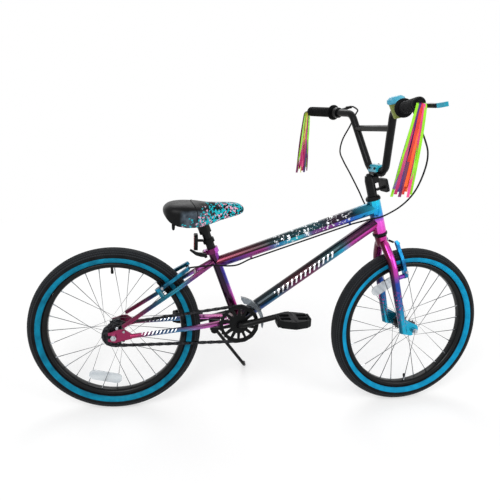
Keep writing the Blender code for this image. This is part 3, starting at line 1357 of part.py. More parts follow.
def grip(name, side, steering):
    """Build a ribbed grip with its inner flange and closed outer end."""
    start, along = bar_point(FLANGE_HALF_SPAN + 0.0004)
    end = bar_corners()[-1]
    length = (end - start).length
    bore = socket(BAR_RADIUS, SEAT_GAP, GRIP_SIDES)
    profile = [(bore, 0.0), (GRIP_FLANGE_RADIUS, 0.0), (GRIP_FLANGE_RADIUS, 0.005), (GRIP_BODY_RADIUS, 0.008)]
    pitch = (length - 0.022) / GRIP_RIBS
    for rib in range(GRIP_RIBS):
        low = 0.012 + rib * pitch
        profile += [(GRIP_BODY_RADIUS, low), (GRIP_BODY_RADIUS - 0.0018, low + pitch * 0.5)]
    profile += [
        (GRIP_BODY_RADIUS, length - 0.006),
        (GRIP_BODY_RADIUS - 0.003, length + GRIP_CAP),
        (PIN_HOLE, length + GRIP_CAP),
        (PIN_HOLE, length + SEAT_GAP),
        (bore, length + SEAT_GAP),
    ]
    mesh = turned(profile, mirrored(start, side), mirrored(along, side), GRIP_SIDES)
    piece(f"grip_{name}", mesh, "black_rubber", steering)


def lever_pivot(side):
    """Return the middle of a brake lever's pin."""
    spot, _ = bar_point(PERCH_HALF_SPAN)
    return mirrored(spot + Vector((LEVER_PIVOT_REACH, 0.006, -0.004)), side)


def lever_barrel(side):
    """Return the two ends of the barrel that holds a brake cable, the cable's end last."""
    pivot = lever_pivot(side)
    outer = pivot + Vector((0.002, -side * 0.002, 0.0108))
    return outer, outer + Vector((0.005, -side * 0.024, 0.0))


def cable_start(side):
    """Return the first points of a cable that leaves its lever's barrel and turns down."""
    outer, inner = lever_barrel(side)
    along = (inner - outer).normalized()
    turn = Vector((0.006, 0.0, -0.013))
    return inner + 2.5 * SEAT_GAP * along, inner + 0.012 * along, inner + 0.022 * along + turn


def perch_and_lever(name, side, steering):
    """Build a brake lever's clamp on the bar and the lever that turns on its pin."""
    spot, along = bar_point(PERCH_HALF_SPAN)
    centre, along = mirrored(spot, side), mirrored(along, side)
    bore = socket(BAR_RADIUS, SEAT_GAP, 16)
    profile = [(bore, -0.007), (bore + 0.005, -0.007), (bore + 0.005, 0.007), (bore, 0.007)]
    perch = piece(f"brake_perch_{name}", turned(profile, centre, along, 16), "black_steel", steering)
    pivot = lever_pivot(side)
    low = Vector((centre.x + bore + 0.003, centre.y - side * 0.007, pivot.z + 0.0055))
    high = Vector((pivot.x + 0.007, pivot.y + side * 0.006, pivot.z + 0.0125))
    corners = sorted((low.y, high.y))
    join(perch, box((low.x, corners[0], low.z), (high.x, corners[1], high.z)), "bracket")
    join(perch, rod(pivot + Vector((0, 0, 0.008)), pivot - Vector((0, 0, 0.0050)), 0.0030, 10), "pin")
    join(perch, rod(*lever_barrel(side), 0.0045, 10), "barrel")

    carrier = empty(f"brake_lever_{name}_axis", steering, Matrix.Translation(pivot))
    outline = arc_points((0.0, 0.0), 0.0070, 100.0, 290.0, 6)
    outline += [(0.0110, 0.020), (0.0105, 0.055), (0.0020, 0.095), (0.0035, 0.110)]
    outline += [(0.0105, LEVER_LENGTH - 0.003)]
    outline += [(0.0095, LEVER_LENGTH), (-0.0010, 0.116), (-0.0060, 0.098), (0.0015, 0.055), (-0.0010, 0.020)]
    outline = [(-u, v) for u, v in outline]
    hole = arc_points((0.0, 0.0), 0.0030 + RUN_GAP, 0.0, 324.0, 9)

    def place(u, v, depth):
        return Vector((-u, side * v, depth))

    piece(f"brake_lever_{name}", plate(outline, [hole], place, -0.0050, 0.0050), "blue_anodised", carrier)


def bell(steering):
    """Build the twist bell on the right bar: a clamp cone with a ridged cap above it."""
    spot, along = bar_point(BELL_HALF_SPAN)
    spot, along = mirrored(spot, RIGHT), mirrored(along, RIGHT)
    seam = spot.z + BAR_RADIUS + 0.0075
    cone = [(0.0008, spot.z - 0.020), (0.0135, spot.z - 0.020), (0.0200, seam), (0.0008, seam)]
    body = piece("bell_body", turned(cone, (spot.x, spot.y, 0.0), (0, 0, 1), 16), "lime_plastic", steering)
    reach = 0.04 * along
    cut(body, rod(spot - reach, spot + reach, BAR_RADIUS + SEAT_GAP * 2.0, 16), "bar_bore")
    carrier = empty("bell_cap_axis", steering, Matrix.Translation((spot.x, spot.y, seam + SEAT_GAP)))
    rings = []
    ridges = BELL_RIDGES
    for height, radius, ridge in BELL_CAP_LEVELS:
        ring = []
        for index in range(2 * ridges):
            reach = BELL_CAP_RADIUS * (radius - (ridge if index % 2 else 0.0))
            angle = math.tau * index / (2 * ridges)
            ring.append(Vector((reach * math.cos(angle), reach * math.sin(angle), height)))
        rings.append(ring)
    piece("bell_cap", skin(rings), "cyan_plastic", carrier)


def front_reflector(steering):
    """Build the clear front reflector and the bracket that holds it to the stem."""
    face, half, tall = 0.0380, 0.025, 0.0205
    middle = 0.4640
    outline = []
    corner = 0.007
    for sy, sz, start in ((1, 1, 0.0), (-1, 1, 90.0), (-1, -1, 180.0), (1, -1, 270.0)):
        centre = (sy * (half - corner), middle + sz * (tall - corner))
        outline += arc_points(centre, corner, start, start + 90.0, 3)

    def place(u, v, depth):
        return Vector((depth, u, v))

    mesh = plate(outline, [], place, face, face + 0.008)
    made = piece("front_reflector", mesh, "clear_reflector", steering)
    arm = box((STEM_BODY_RADIUS + SEAT_GAP, -0.007, middle - 0.010), (face + 0.001, 0.007, middle - 0.004))
    join(made, arm, "bracket")


def streamers(name, side, steering):
    """Build the bunch of ribbons that hangs from a plug in a grip's outer end."""
    end = bar_corners()[-1]
    _, along = bar_point(GRIP_HALF_SPAN - 0.01)
    down = Vector((-math.cos(HEAD_ANGLE), 0.0, -math.sin(HEAD_ANGLE)))
    ahead = LATERAL.cross(down)
    ahead = (ahead - along * ahead.dot(along)).normalized()
    start = end + along * (GRIP_CAP + SEAT_GAP)
    tip = start + along * STREAMER_PLUG
    third = along.cross(ahead).normalized()
    mesh = bmesh.new()
    rims = []
    for centre in (start, tip):
        ring = circle(centre, ahead, third, GRIP_BODY_RADIUS * 0.48, 12)
        rims.append([mesh.verts.new(mirrored(point, side)) for point in ring])
    back, front = rims
    mesh.faces.new(back)
    loops = [front]
    for step, vert in enumerate(back):
        after = (step + 1) % len(back)
        mesh.faces.new((vert, back[after], front[after], front[step]))
    for index in range(STREAMER_COUNT):
        rings = ribbon(index, tip, (along, down, ahead, third))
        rows = [[mesh.verts.new(mirrored(point, side)) for point in ring] for ring in rings]
        loops.append(rows[0])
        for here, there in zip(rows, rows[1:]):
            for step in range(4):
                after = (step + 1) % 4
                mesh.faces.new((here[step], here[after], there[after], there[step]))
        mesh.faces.new(rows[-1])
    edges = []
    for loop in loops:
        for step, vert in enumerate(loop):
            pair = (vert, loop[(step + 1) % len(loop)])
            edges.append(mesh.edges.get(pair) or mesh.edges.new(pair))
    bmesh.ops.triangle_fill(mesh, use_beauty=True, edges=edges)
    piece(f"streamers_{name}", mesh, "pink_vinyl", steering)


def ribbon(index, tip, axes):
    """Return the rings of one ribbon that bends over at the plug and hangs down, fanned out."""
    along, down, ahead, third = axes
    fan = index - (STREAMER_COUNT - 1.0) / 2.0
    drop = STREAMER_LENGTH * (1.0 - 0.14 * ((index * 3) % 5) / 4.0)
    rings = []
    for share in STREAMER_STATIONS:
        bend = min(share / STREAMER_BEND, 1.0) * math.pi / 2.0
        out = STREAMER_OUT * math.sin(bend) + 0.005 * share * math.sin(5.0 * share + 2.1 * index)
        fall = STREAMER_OUT * (1.0 - math.cos(bend)) + drop * max(share - STREAMER_BEND, 0.0)
        pitch = STREAMER_PITCH * (0.26 + 0.74 * share ** 0.7)
        point = tip + along * out + down * fall + ahead * (fan * pitch - STREAMER_SWEEP * share)
        flat = ahead * (0.40 * pitch)
        thick = (third * math.cos(bend) - along * math.sin(bend)) * (STREAMER_THICKNESS / 2.0)
        rings.append([point + flat + thick, point - flat + thick, point - flat - thick, point + flat - thick])
    return rings


def cable(name, points, parent):
    """Build a cable housing as a round tube through chosen points."""
    curve = bpy.data.curves.new(name, "CURVE")
    curve.dimensions = "3D"
    curve.bevel_depth = CABLE_RADIUS
    curve.bevel_resolution = 1
    curve.use_fill_caps = True
    spline = curve.splines.new("POLY")
    smooth = smooth_points(points)
    spline.points.add(len(smooth) - 1)
    for slot, point in zip(spline.points, smooth):
        slot.co = (*point, 1.0)
    curve.materials.append(finish("black_plastic"))
    made = bpy.data.objects.new(name, curve)
    bpy.context.collection.objects.link(made)
    made.parent = parent


def smooth_points(points, steps=2):
    """Return points along a smooth curve through the given ones."""
    points = [Vector(point) for point in points]
    padded = [2.0 * points[0] - points[1], *points, 2.0 * points[-1] - points[-2]]
    run = []
    for a, b, c, d in zip(padded, padded[1:], padded[2:], padded[3:]):
        for step in range(steps):
            t = step / steps
            run.append(0.5 * (2.0 * b + (c - a) * t + (2.0 * a - 5.0 * b + 4.0 * c - d) * t * t
                              + (3.0 * b - 3.0 * c + d - a) * t ** 3))
    run.append(points[-1])
    return run


FRONT_CABLE_ROUTE = (
    (0.0680, 0.1520, 0.6740), (0.0420, 0.1560, 0.6420), (0.0120, 0.1620, 0.6080),
    (-0.0070, 0.1580, 0.5740), (-0.0110, 0.1380, 0.5450), (-0.0100, 0.1080, 0.5050),
    (-0.0080, 0.0760, 0.4550), (-0.0040, 0.0560, 0.4080), (0.0110, 0.0460, 0.3680),
    (0.0280, 0.0410, 0.3300),
)
LOOP_ROUTE = (
    (0.8130, -0.1950, 0.8500), (0.8320, -0.1850, 0.8050), (0.8360, -0.1600, 0.7500),
    (0.8360, -0.1150, 0.6950), (0.8210, -0.0700, 0.6500), (0.7860, -0.0360, 0.6150),
)
REAR_CABLE_ROUTE = (
    (0.3600, -0.0140, 0.4590), (0.3300, -0.0240, 0.4580), (0.2930, -0.0275, 0.4610),
    (0.2700, -0.0300, 0.4600), (0.2440, -0.0310, 0.4580),
)
CABLE_JOINT = Vector((0.7410, -0.0200, 0.5990))


def cables(bike, steering):
    """Build the brake cables along their routes, each ending 0.3 mm or so from its seat."""
    seat, _, _ = front_boss(LEFT)
    above = Vector((0.0, 0.0, 0.001 + SEAT_GAP))
    stop = Vector((BRAKE_STANDOFF, seat.y - BRAKE_CRADLE[0], FRONT_PIVOT_Z + BRAKE_CRADLE[1])) + above
    cable("front_brake_cable", (*cable_start(LEFT), *FRONT_CABLE_ROUTE, stop), steering)

    into_bike = steering.matrix_basis
    start = [into_bike @ point for point in cable_start(RIGHT)]
    guided = [under_top_tube(share, GUIDE_DROP + CABLE_RADIUS + 2.0 * SEAT_GAP) for share in GUIDE_SPANS]
    lead = (CABLE_JOINT - guided[0]).normalized()
    finish_line = (CABLE_JOINT + lead * 0.016, CABLE_JOINT + lead * 2.0 * SEAT_GAP)
    cable("rear_brake_cable_loop", (*start, *LOOP_ROUTE, *finish_line), bike)
    pivot = stay_point(REAR_PIVOT_ALONG, RIGHT) + BRAKE_STANDOFF * STAY_SQUARE
    stop = pivot + BRAKE_CRADLE[0] * LATERAL + (BRAKE_CRADLE[1] + above.z) * STAY_LINE
    cable("rear_brake_cable", (CABLE_JOINT, *guided, *REAR_CABLE_ROUTE, stop), bike)


def world_points(names):
    """Return the world positions of the named objects' points, as they are evaluated."""
    bpy.context.view_layer.update()
    depsgraph = bpy.context.evaluated_depsgraph_get()
    points = []
    for name in names:
        shown = bpy.data.objects[name].evaluated_get(depsgraph)
        mesh = shown.to_mesh()
        points += [shown.matrix_world @ vert.co for vert in mesh.vertices]
        shown.to_mesh_clear()
    return points


def lowest(name):
    """Return the lowest world point of one object."""
    return min(world_points([name]), key=lambda point: point.z)


def stand_on_tyres(bike):
    """Pitch and lift the leaning bike until both tyres touch the ground."""
    for _ in range(2):
        rear, front = lowest("rear_tyre"), lowest("front_tyre")
        pitch = math.atan2(front.z - rear.z, front.x - rear.x)
        turn = Matrix.Translation(rear) @ Matrix.Rotation(pitch, 4, "Y") @ Matrix.Translation(-rear)
        bike.matrix_world = turn @ bike.matrix_world
        bpy.context.view_layer.update()
    bike.matrix_world = Matrix.Translation((0.0, 0.0, -lowest("rear_tyre").z)) @ bike.matrix_world
    bpy.context.view_layer.update()


def ground_height(bike):
    """Return a function that gives the ground's height in the bike frame under a point."""
    place = bike.matrix_world.copy()

    def height(x, y):
        level = place @ Vector((x, y, 0.0))
        lift = (place.to_3x3() @ Vector((0.0, 0.0, 1.0))).z
        return -level.z / lift

    return height


def centre_on_origin(bike):
    """Shift the bike so that the middle of its footprint is the origin."""
    shown = [thing for thing in bpy.data.objects if thing.type in {"MESH", "CURVE"}]
    points = world_points([thing.name for thing in shown if not thing.hide_render])
    middle_x = (min(p.x for p in points) + max(p.x for p in points)) / 2.0
    middle_y = (min(p.y for p in points) + max(p.y for p in points)) / 2.0
    low = min(p.z for p in points)
    bike.matrix_world = Matrix.Translation((-middle_x, -middle_y, -low)) @ bike.matrix_world
    bpy.context.view_layer.update()


def main():
    """Build the whole bike."""
    clear_scene()
    bike = empty("bike", None, Matrix.Rotation(-LEAN, 4, "X"))
    tilt = Matrix.Rotation(HEAD_ANGLE - math.pi / 2.0, 4, "Y")
    steer = Matrix.Rotation(STEER_REST, 4, "Z")
    steering = empty("steering", bike, Matrix.Translation(steering_base()) @ tilt @ steer)
    front_wheel = empty("front_wheel", steering, Matrix.Translation((FORK_RAKE, 0.0, 0.0)))
    rear_wheel = empty("rear_wheel", bike, Matrix.Translation(REAR_HUB))
    freewheel = empty("freewheel", bike, Matrix.Translation(REAR_HUB))
    crank = empty("crank_axis", bike, Matrix.Translation(BRACKET))
    seat = empty("seat", bike, Matrix.Identity(4))

    main_tubes(bike)
    headset(bike)
    chain_stays(bike)
    seat_stays(bike)
    seat_clamp(bike)
    seat_group(seat)
    axle("rear_axle", bike, REAR_HUB, REAR_DROPOUT_Y)
    wheel_pieces("rear", rear_wheel, REAR_FLANGE_Y, REAR_DROPOUT_Y, True)
    wheel_pieces("front", front_wheel, FRONT_FLANGE_Y, FRONT_DROPOUT_Y, False)
    cog(freewheel)
    chain(bike)
    crank_set(crank)
    arm = polar(CRANK_ANGLE, CRANK_LENGTH, 0.0)
    for name, side in SIDES:
        spindle = empty(f"pedal_{name}_axis", crank, Matrix.Translation(arm * -side))
        pedal(name, side, spindle)
    chain_guard(bike)
    fork(steering)
    handlebar(steering)
    brakes(bike, steering)
    cables(bike, steering)
    stand_on_tyres(bike)
    kickstand(bike, ground_height(bike))
    centre_on_origin(bike)


if __name__ == "__main__":
    main()
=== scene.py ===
"""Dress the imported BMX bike: candy fades, tyres, saddle, ribbons, cables and small hardware.

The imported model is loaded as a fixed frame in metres. Each class holds the sizes of one sub-assembly,
builds the meshes that stand for its CAD nodes or add to them, and dresses them in their finishes.
"""

from __future__ import annotations

import json
import logging
import math
from dataclasses import dataclass
from enum import Enum
from itertools import product
from typing import Any, Callable, Iterable, Sequence

import bmesh
import bpy
from mathutils import Matrix, Vector
from mathutils.bvhtree import BVHTree

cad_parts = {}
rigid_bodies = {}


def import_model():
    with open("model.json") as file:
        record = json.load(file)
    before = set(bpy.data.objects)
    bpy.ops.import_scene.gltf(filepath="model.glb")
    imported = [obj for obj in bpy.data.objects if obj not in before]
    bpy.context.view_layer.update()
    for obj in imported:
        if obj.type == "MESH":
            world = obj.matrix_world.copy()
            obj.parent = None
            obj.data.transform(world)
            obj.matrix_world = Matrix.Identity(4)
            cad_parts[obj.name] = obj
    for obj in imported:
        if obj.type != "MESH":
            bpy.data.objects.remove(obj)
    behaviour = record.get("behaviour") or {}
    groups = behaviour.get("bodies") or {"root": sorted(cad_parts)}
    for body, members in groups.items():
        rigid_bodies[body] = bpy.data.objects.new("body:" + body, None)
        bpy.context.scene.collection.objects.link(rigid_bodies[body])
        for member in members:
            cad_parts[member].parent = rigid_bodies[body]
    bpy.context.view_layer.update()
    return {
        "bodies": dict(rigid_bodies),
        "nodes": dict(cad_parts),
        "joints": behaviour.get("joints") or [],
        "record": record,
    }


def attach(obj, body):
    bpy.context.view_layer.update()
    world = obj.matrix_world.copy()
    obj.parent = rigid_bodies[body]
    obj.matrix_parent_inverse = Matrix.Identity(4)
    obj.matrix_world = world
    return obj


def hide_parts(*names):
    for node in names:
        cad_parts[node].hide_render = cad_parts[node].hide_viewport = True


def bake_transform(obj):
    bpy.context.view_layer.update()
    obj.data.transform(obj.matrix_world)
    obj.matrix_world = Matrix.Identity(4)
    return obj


LOG = logging.getLogger("bmx_bike")

# Driving sizes of the CAD source, in metres
TYRE_RADIUS = 0.254
BRACKET_X = 0.365
BRACKET_Z = 0.284
WHEELBASE = 0.912
SEAT_ANGLE = math.radians(69.2)
HEAD_ANGLE = math.radians(73.0)
FORK_RAKE = 0.022
RIM_HALF = 0.016
BAR_RADIUS = 0.0111
CABLE_RADIUS = 0.0024
STAY_FOOT = Vector((0.026, 0.0, 0.285))
STAY_TOP = Vector((0.288, 0.0, 0.4655))
# The brake pivots: off their carrier, half the distance between them, and along the fork or the stays
PIVOT_STANDOFF = 0.031
FRONT_PIVOT_HALF = 0.05141
FRONT_PIVOT_HEIGHT = 0.184
REAR_PIVOT_HALF = 0.04338
REAR_PIVOT_ALONG = 0.143
GAP = 0.0003

AHEAD = Vector((1.0, 0.0, 0.0))
LATERAL = Vector((0.0, 1.0, 0.0))
UP = Vector((0.0, 0.0, 1.0))
SHARP_ANGLE = math.radians(40.0)

Mesh = bmesh.types.BMesh
Piece = bpy.types.Object
Place = Callable[[float, float, float], Vector]
Profile = Sequence[tuple[float, float]]
Socket = bpy.types.NodeSocket
Stops = Sequence[tuple[float, str]]
Triple = tuple[float, float, float]


class Side(Enum):
    """The rider's right or left, as the sign of y in the bike's frame."""

    RIGHT = -1.0
    LEFT = 1.0

    @property
    def word(self) -> str:
        """Return the side's name in lower case."""
        return self.name.lower()

    def mirrored(self, vector: Vector) -> Vector:
        """Return a left-hand vector, or its mirror image on the right."""
        return Vector((vector.x, self.value * vector.y, vector.z))


class Body(Enum):
    """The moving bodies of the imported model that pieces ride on."""

    FRAME = "frame"
    SEAT = "seat"
    STEERING = "steering"
    RIGHT_LEVER = "right_lever"
    LEFT_LEVER = "left_lever"
    FRONT_ARM_RIGHT = "front_arm_right"
    FRONT_ARM_LEFT = "front_arm_left"
    REAR_ARM_RIGHT = "rear_arm_right"
    REAR_ARM_LEFT = "rear_arm_left"
    FRONT_WHEEL = "front_wheel"
    REAR_WHEEL = "rear_wheel"
    RIGHT_PEDAL = "right_pedal"
    LEFT_PEDAL = "left_pedal"
    STAND = "stand"


def on_seat_tube(along: float) -> Vector:
    """Return a point on the seat tube's line, from the bracket up, in the bike's frame."""
    return Vector((BRACKET_X - along * math.cos(SEAT_ANGLE), 0.0, BRACKET_Z + along * math.sin(SEAT_ANGLE)))


def on_head_tube(along: float) -> Vector:
    """Return a point on the steering line, from beside the front axle up, in the bike's frame."""
    reach, rise = FORK_RAKE * math.sin(HEAD_ANGLE), FORK_RAKE * math.cos(HEAD_ANGLE)
    return Vector((WHEELBASE - reach - along * math.cos(HEAD_ANGLE), 0.0,
                   TYRE_RADIUS - rise + along * math.sin(HEAD_ANGLE)))


@dataclass(frozen=True)
class Rig:
    """The bike's frames of reference, each a matrix from local metres to the row frame."""

    bike: Matrix
    steering: Matrix
    front_wheel: Matrix
    rear_wheel: Matrix

    @classmethod
    def from_joints(cls, joints: Sequence[dict[str, Any]]) -> Rig:
        """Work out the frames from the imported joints.

        Args:
            joints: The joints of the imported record.

        Returns:
            The rig at rest.
        """
        spots = {joint["name"]: Vector(joint.get("pos_m", (0, 0, 0))) for joint in joints}
        axes = {joint["name"]: Vector(joint["axis"]).normalized() for joint in joints}
        lateral = axes["rear_wheel_spin"]
        ahead = (spots["crank_spin"] - spots["rear_wheel_spin"]).normalized()
        over = ahead.cross(lateral).normalized()
        slope = math.atan2(BRACKET_Z - TYRE_RADIUS, BRACKET_X)
        forward = math.cos(slope) * ahead - math.sin(slope) * over
        up = math.sin(slope) * ahead + math.cos(slope) * over
        turn = Matrix((forward, lateral, up)).transposed().to_4x4()
        steer_up, steer_side = axes["steer"], axes["front_wheel_spin"]
        steer = Matrix((steer_side.cross(steer_up), steer_side, steer_up)).transposed().to_4x4()
        return cls(
            bike=Matrix.Translation(spots["rear_wheel_spin"] - TYRE_RADIUS * up) @ turn,
            steering=Matrix.Translation(spots["steer"]) @ steer,
            front_wheel=Matrix.Translation(spots["front_wheel_spin"]) @ steer,
            rear_wheel=Matrix.Translation(spots["rear_wheel_spin"]) @ turn,
        )

    @property
    def front_brake(self) -> Matrix:
        """Return the frame between the front brake's pivots: x along the bosses, z along the arms."""
        return self.steering @ Matrix.Translation((PIVOT_STANDOFF, 0.0, FRONT_PIVOT_HEIGHT))

    @property
    def rear_brake(self) -> Matrix:
        """Return the frame between the rear brake's pivots: x along the bosses, z along the arms."""
        line = (STAY_TOP - STAY_FOOT).normalized()
        square = Vector((-line.z, 0.0, line.x))
        spot = STAY_FOOT + REAR_PIVOT_ALONG * line + PIVOT_STANDOFF * square
        return self.bike @ Matrix.Translation(spot) @ Matrix((-square, LATERAL, line)).transposed().to_4x4()


# Mesh tools


def square_to(direction: Vector) -> tuple[Vector, Vector]:
    """Return two unit vectors square to a direction and to each other."""
    side = direction.normalized().orthogonal().normalized()
    return side, direction.normalized().cross(side)


def mean(points: Iterable[Vector]) -> Vector:
    """Return the middle of some points."""
    listed = list(points)
    return sum(listed, Vector((0.0, 0.0, 0.0))) / len(listed)


def loft(rings: Sequence[Sequence[Vector]], round_trip: bool = False, closed: bool = True,
         into: Mesh | None = None) -> Mesh:
    """Join rings of equal counts with quads.

    Args:
        rings: The rings, in order.
        round_trip: Whether the last ring joins the first.
        closed: Whether each ring is closed; the two ends are then capped unless it is a round trip.
        into: A mesh to add to.

    Returns:
        The mesh.
    """
    mesh = into or bmesh.new()
    rows = [[mesh.verts.new(point) for point in ring] for ring in rings]
    count = len(rows[0])
    for index in range(len(rows) if round_trip else len(rows) - 1):
        here, there = rows[index], rows[(index + 1) % len(rows)]
        for step in range(count if closed else count - 1):
            after = (step + 1) % count
            mesh.faces.new((here[step], here[after], there[after], there[step]))
    if closed and not round_trip:
        mesh.faces.new(rows[0][::-1])
        mesh.faces.new(rows[-1])
    return mesh


def lathe(profile: Profile, place: Matrix, segments: int, into: Mesh | None = None) -> Mesh:
    """Turn a closed outline of (radius, height) about the y axis of a frame.

    Args:
        profile: The outline.
        place: The frame, with its y axis as the turning axis.
        segments: How many steps go round.
        into: A mesh to add to.

    Returns:
        The mesh.
    """
    rings = []
    for step in range(segments):
        angle = math.tau * step / segments
        cosine, sine = math.cos(angle), math.sin(angle)
        rings.append([place @ Vector((radius * cosine, height, radius * sine)) for radius, height in profile])
    return loft(rings, round_trip=True, into=into)


def sweep(points: Sequence[Vector], radii: Sequence[float], sides: int, into: Mesh | None = None) -> Mesh:
    """Sweep a round section along a path, carried without twist.

    Args:
        points: The path.
        radii: A radius for each point.
        sides: How many sides the section has.
        into: A mesh to add to.

    Returns:
        The mesh.
    """
    rings = []
    side: Vector | None = None
    turns = [math.tau * step / sides for step in range(sides)]
    for index, point in enumerate(points):
        along = (points[min(index + 1, len(points) - 1)] - points[max(index - 1, 0)]).normalized()
        side = square_to(along)[0] if side is None else (side - along * side.dot(along)).normalized()
        up = along.cross(side)
        rings.append([point + radii[index] * (math.cos(t) * side + math.sin(t) * up) for t in turns])
    return loft(rings, into=into)


def turned(start: Vector, axis: Vector, levels: Profile, sides: int, into: Mesh | None = None) -> Mesh:
    """Return a round bar through levels of (distance, radius) along a unit axis from a start."""
    return sweep([start + reach * axis for reach, _ in levels], [radius for _, radius in levels], sides, into)


def rod(start: Vector, end: Vector, radius: float, sides: int, into: Mesh | None = None,
        tip: float | None = None) -> Mesh:
    """Return a bar between two points, tapered where a tip radius is given."""
    return sweep([start, end], [radius, radius if tip is None else tip], sides, into)


def bolt(seat: Vector, out: Vector, radius: float, height: float, into: Mesh | None = None) -> Mesh:
    """Return a hexagon bolt head with a chamfered top that stands on a seat."""
    levels = ((0.0, radius), (0.75 * height, radius), (height, 0.8 * radius))
    return turned(seat, out.normalized(), levels, 6, into)


def fillet(corners: Sequence[Vector], radii: Sequence[float], steps: int) -> list[Vector]:
    """Return a path through corners with each inner corner turned to an arc.

    Args:
        corners: The corner points.
        radii: The arc's radius at each inner corner.
        steps: How many steps each arc has.

    Returns:
        The points of the path.
    """
    nearly_straight = math.radians(84.0)
    path = [corners[0]]
    for before, corner, after, radius in zip(corners, corners[1:], corners[2:], radii):
        into, away = (before - corner).normalized(), (after - corner).normalized()
        half = into.angle(away) / 2.0
        if half > nearly_straight:
            path.append(corner)
            continue
        centre = corner + (into + away).normalized() * (radius / math.sin(half))
        first = corner + into * (radius / math.tan(half)) - centre
        last = corner + away * (radius / math.tan(half)) - centre
        turn = first.angle(last)
        for step in range(steps + 1):
            share = step / steps
            mix = math.sin((1.0 - share) * turn) * first + math.sin(share * turn) * last
            path.append(centre + mix / math.sin(turn))
    path.append(corners[-1])
    return path


def spline(points: Sequence[Vector], steps: int) -> list[Vector]:
    """Return a smooth curve through points.

    Args:
        points: The points.
        steps: How many steps lie between each pair.

    Returns:
        The points of the curve.
    """
    ends = [2.0 * points[0] - points[1], *points, 2.0 * points[-1] - points[-2]]
    run = []
    for a, b, c, d in zip(ends, ends[1:], ends[2:], ends[3:]):
        for step in range(steps):
            t = step / steps
            square = (2.0 * a - 5.0 * b + 4.0 * c - d) * t * t
            cube = (3.0 * b - 3.0 * c + d - a) * t ** 3
            run.append(0.5 * (2.0 * b + (c - a) * t + square + cube))
    run.append(points[-1])
    return run


def plate(outline: Profile, place: Place, low: float, high: float, into: Mesh | None = None) -> Mesh:
    """Return a flat plate.

    Args:
        outline: Its edge, as (u, v).
        place: Turns (u, v, depth) into a point.
        low: The depth of its back.
        high: The depth of its face.
        into: A mesh to add to.

    Returns:
        The mesh.
    """
    mesh = into or bmesh.new()
    verts = [mesh.verts.new(place(u, v, low)) for u, v in outline]
    edges = [mesh.edges.new(pair) for pair in zip(verts, verts[1:] + verts[:1])]
    filled = bmesh.ops.triangle_fill(mesh, use_beauty=True, edges=edges)["geom"]
    faces = [item for item in filled if isinstance(item, bmesh.types.BMFace)]
    grown = bmesh.ops.extrude_face_region(mesh, geom=faces)["geom"]
    moved = [item for item in grown if isinstance(item, bmesh.types.BMVert)]
    bmesh.ops.translate(mesh, verts=moved, vec=place(0.0, 0.0, high) - place(0.0, 0.0, low))
    return mesh


def ring_points(centre: tuple[float, float], radius: float, start: float, end: float,
                steps: int) -> list[tuple[float, float]]:
    """Return (u, v) points along an arc, with its angles in degrees."""
    angles = [math.radians(start + (end - start) * step / steps) for step in range(steps + 1)]
    return [(centre[0] + radius * math.cos(a), centre[1] + radius * math.sin(a)) for a in angles]


def rounded(wide: float, tall: float, corner: float) -> list[tuple[float, float]]:
    """Return the (u, v) outline of a rectangle with round corners.

    Args:
        wide: Half its width.
        tall: Half its height.
        corner: Its corners' radius.

    Returns:
        The points of the outline.
    """
    outline = []
    for quarter, (su, sv) in enumerate(((1, 1), (-1, 1), (-1, -1), (1, -1))):
        centre = (su * (wide - corner), sv * (tall - corner))
        outline += ring_points(centre, corner, 90.0 * quarter, 90.0 * quarter + 90.0, 4)
    return outline


def add_object(name: str, mesh: Mesh, finish: Finish) -> Piece:
    """Make an object from a mesh with outward faces, smooth but for sharp edges.

    Args:
        name: The object's name.
        mesh: Its mesh, in the row frame, which is freed.
        finish: Its finish.

    Returns:
        The new object.
    """
    bmesh.ops.recalc_face_normals(mesh, faces=mesh.faces)
    data = bpy.data.meshes.new(name)
    mesh.to_mesh(data)
    mesh.free()
    dress(data, finish)
    made = bpy.data.objects.new(name, data)
    bpy.context.scene.collection.objects.link(made)
    LOG.info("piece %s: %d faces", name, len(data.polygons))
    return made


def add_piece(name: str, mesh: Mesh, finish: Finish, body: Body, slot: str, *stands_for: str) -> None:
    """Make an object that rides on a body.

    Args:
        name: The piece's name.
        mesh: Its mesh, in the row frame, which is freed.
        finish: Its finish.
        body: The body that it rides on.
        slot: The record's material slot; not used.
        stands_for: The CAD nodes that it replaces.
    """
    made = add_object(name, mesh, finish)
    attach(made, body.value)
    if stands_for:
        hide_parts(*stands_for)


def dress(data: bpy.types.Mesh, finish: Finish) -> None:
    """Give a mesh a finish, smooth but for its sharp edges.

    Args:
        data: The mesh.
        finish: The finish.
    """
    data.materials.clear()
    data.materials.append(finish.material())
    data.shade_smooth()
    data.set_sharp_from_angle(angle=SHARP_ANGLE)


# Finishes


def linear(code: str) -> tuple[float, float, float, float]:
    """Turn an sRGB hex colour into linear RGBA."""
    shares = [int(code[start:start + 2], 16) / 255.0 for start in (1, 3, 5)]
    return (*(s / 12.92 if s <= 0.04045 else ((s + 0.055) / 1.055) ** 2.4 for s in shares), 1.0)


def stops(row: str) -> Stops:
    """Read a row of stops such as "0 #5A1260, 26 #A03A86", with each place in percent."""
    return tuple((float(stop.split()[0]) / 100.0, stop.split()[1]) for stop in row.split(","))


def connect(tree: bpy.types.NodeTree, node: bpy.types.Node, inputs: dict[Any, Any]) -> None:
    """Give a node's inputs their values or links.

    Args:
        tree: The node tree.
        node: The node.
        inputs: A value or an output socket for each input, by name or number.
    """
    for key, value in inputs.items():
        if isinstance(value, Socket):
            tree.links.new(value, node.inputs[key])
        else:
            node.inputs[key].default_value = value


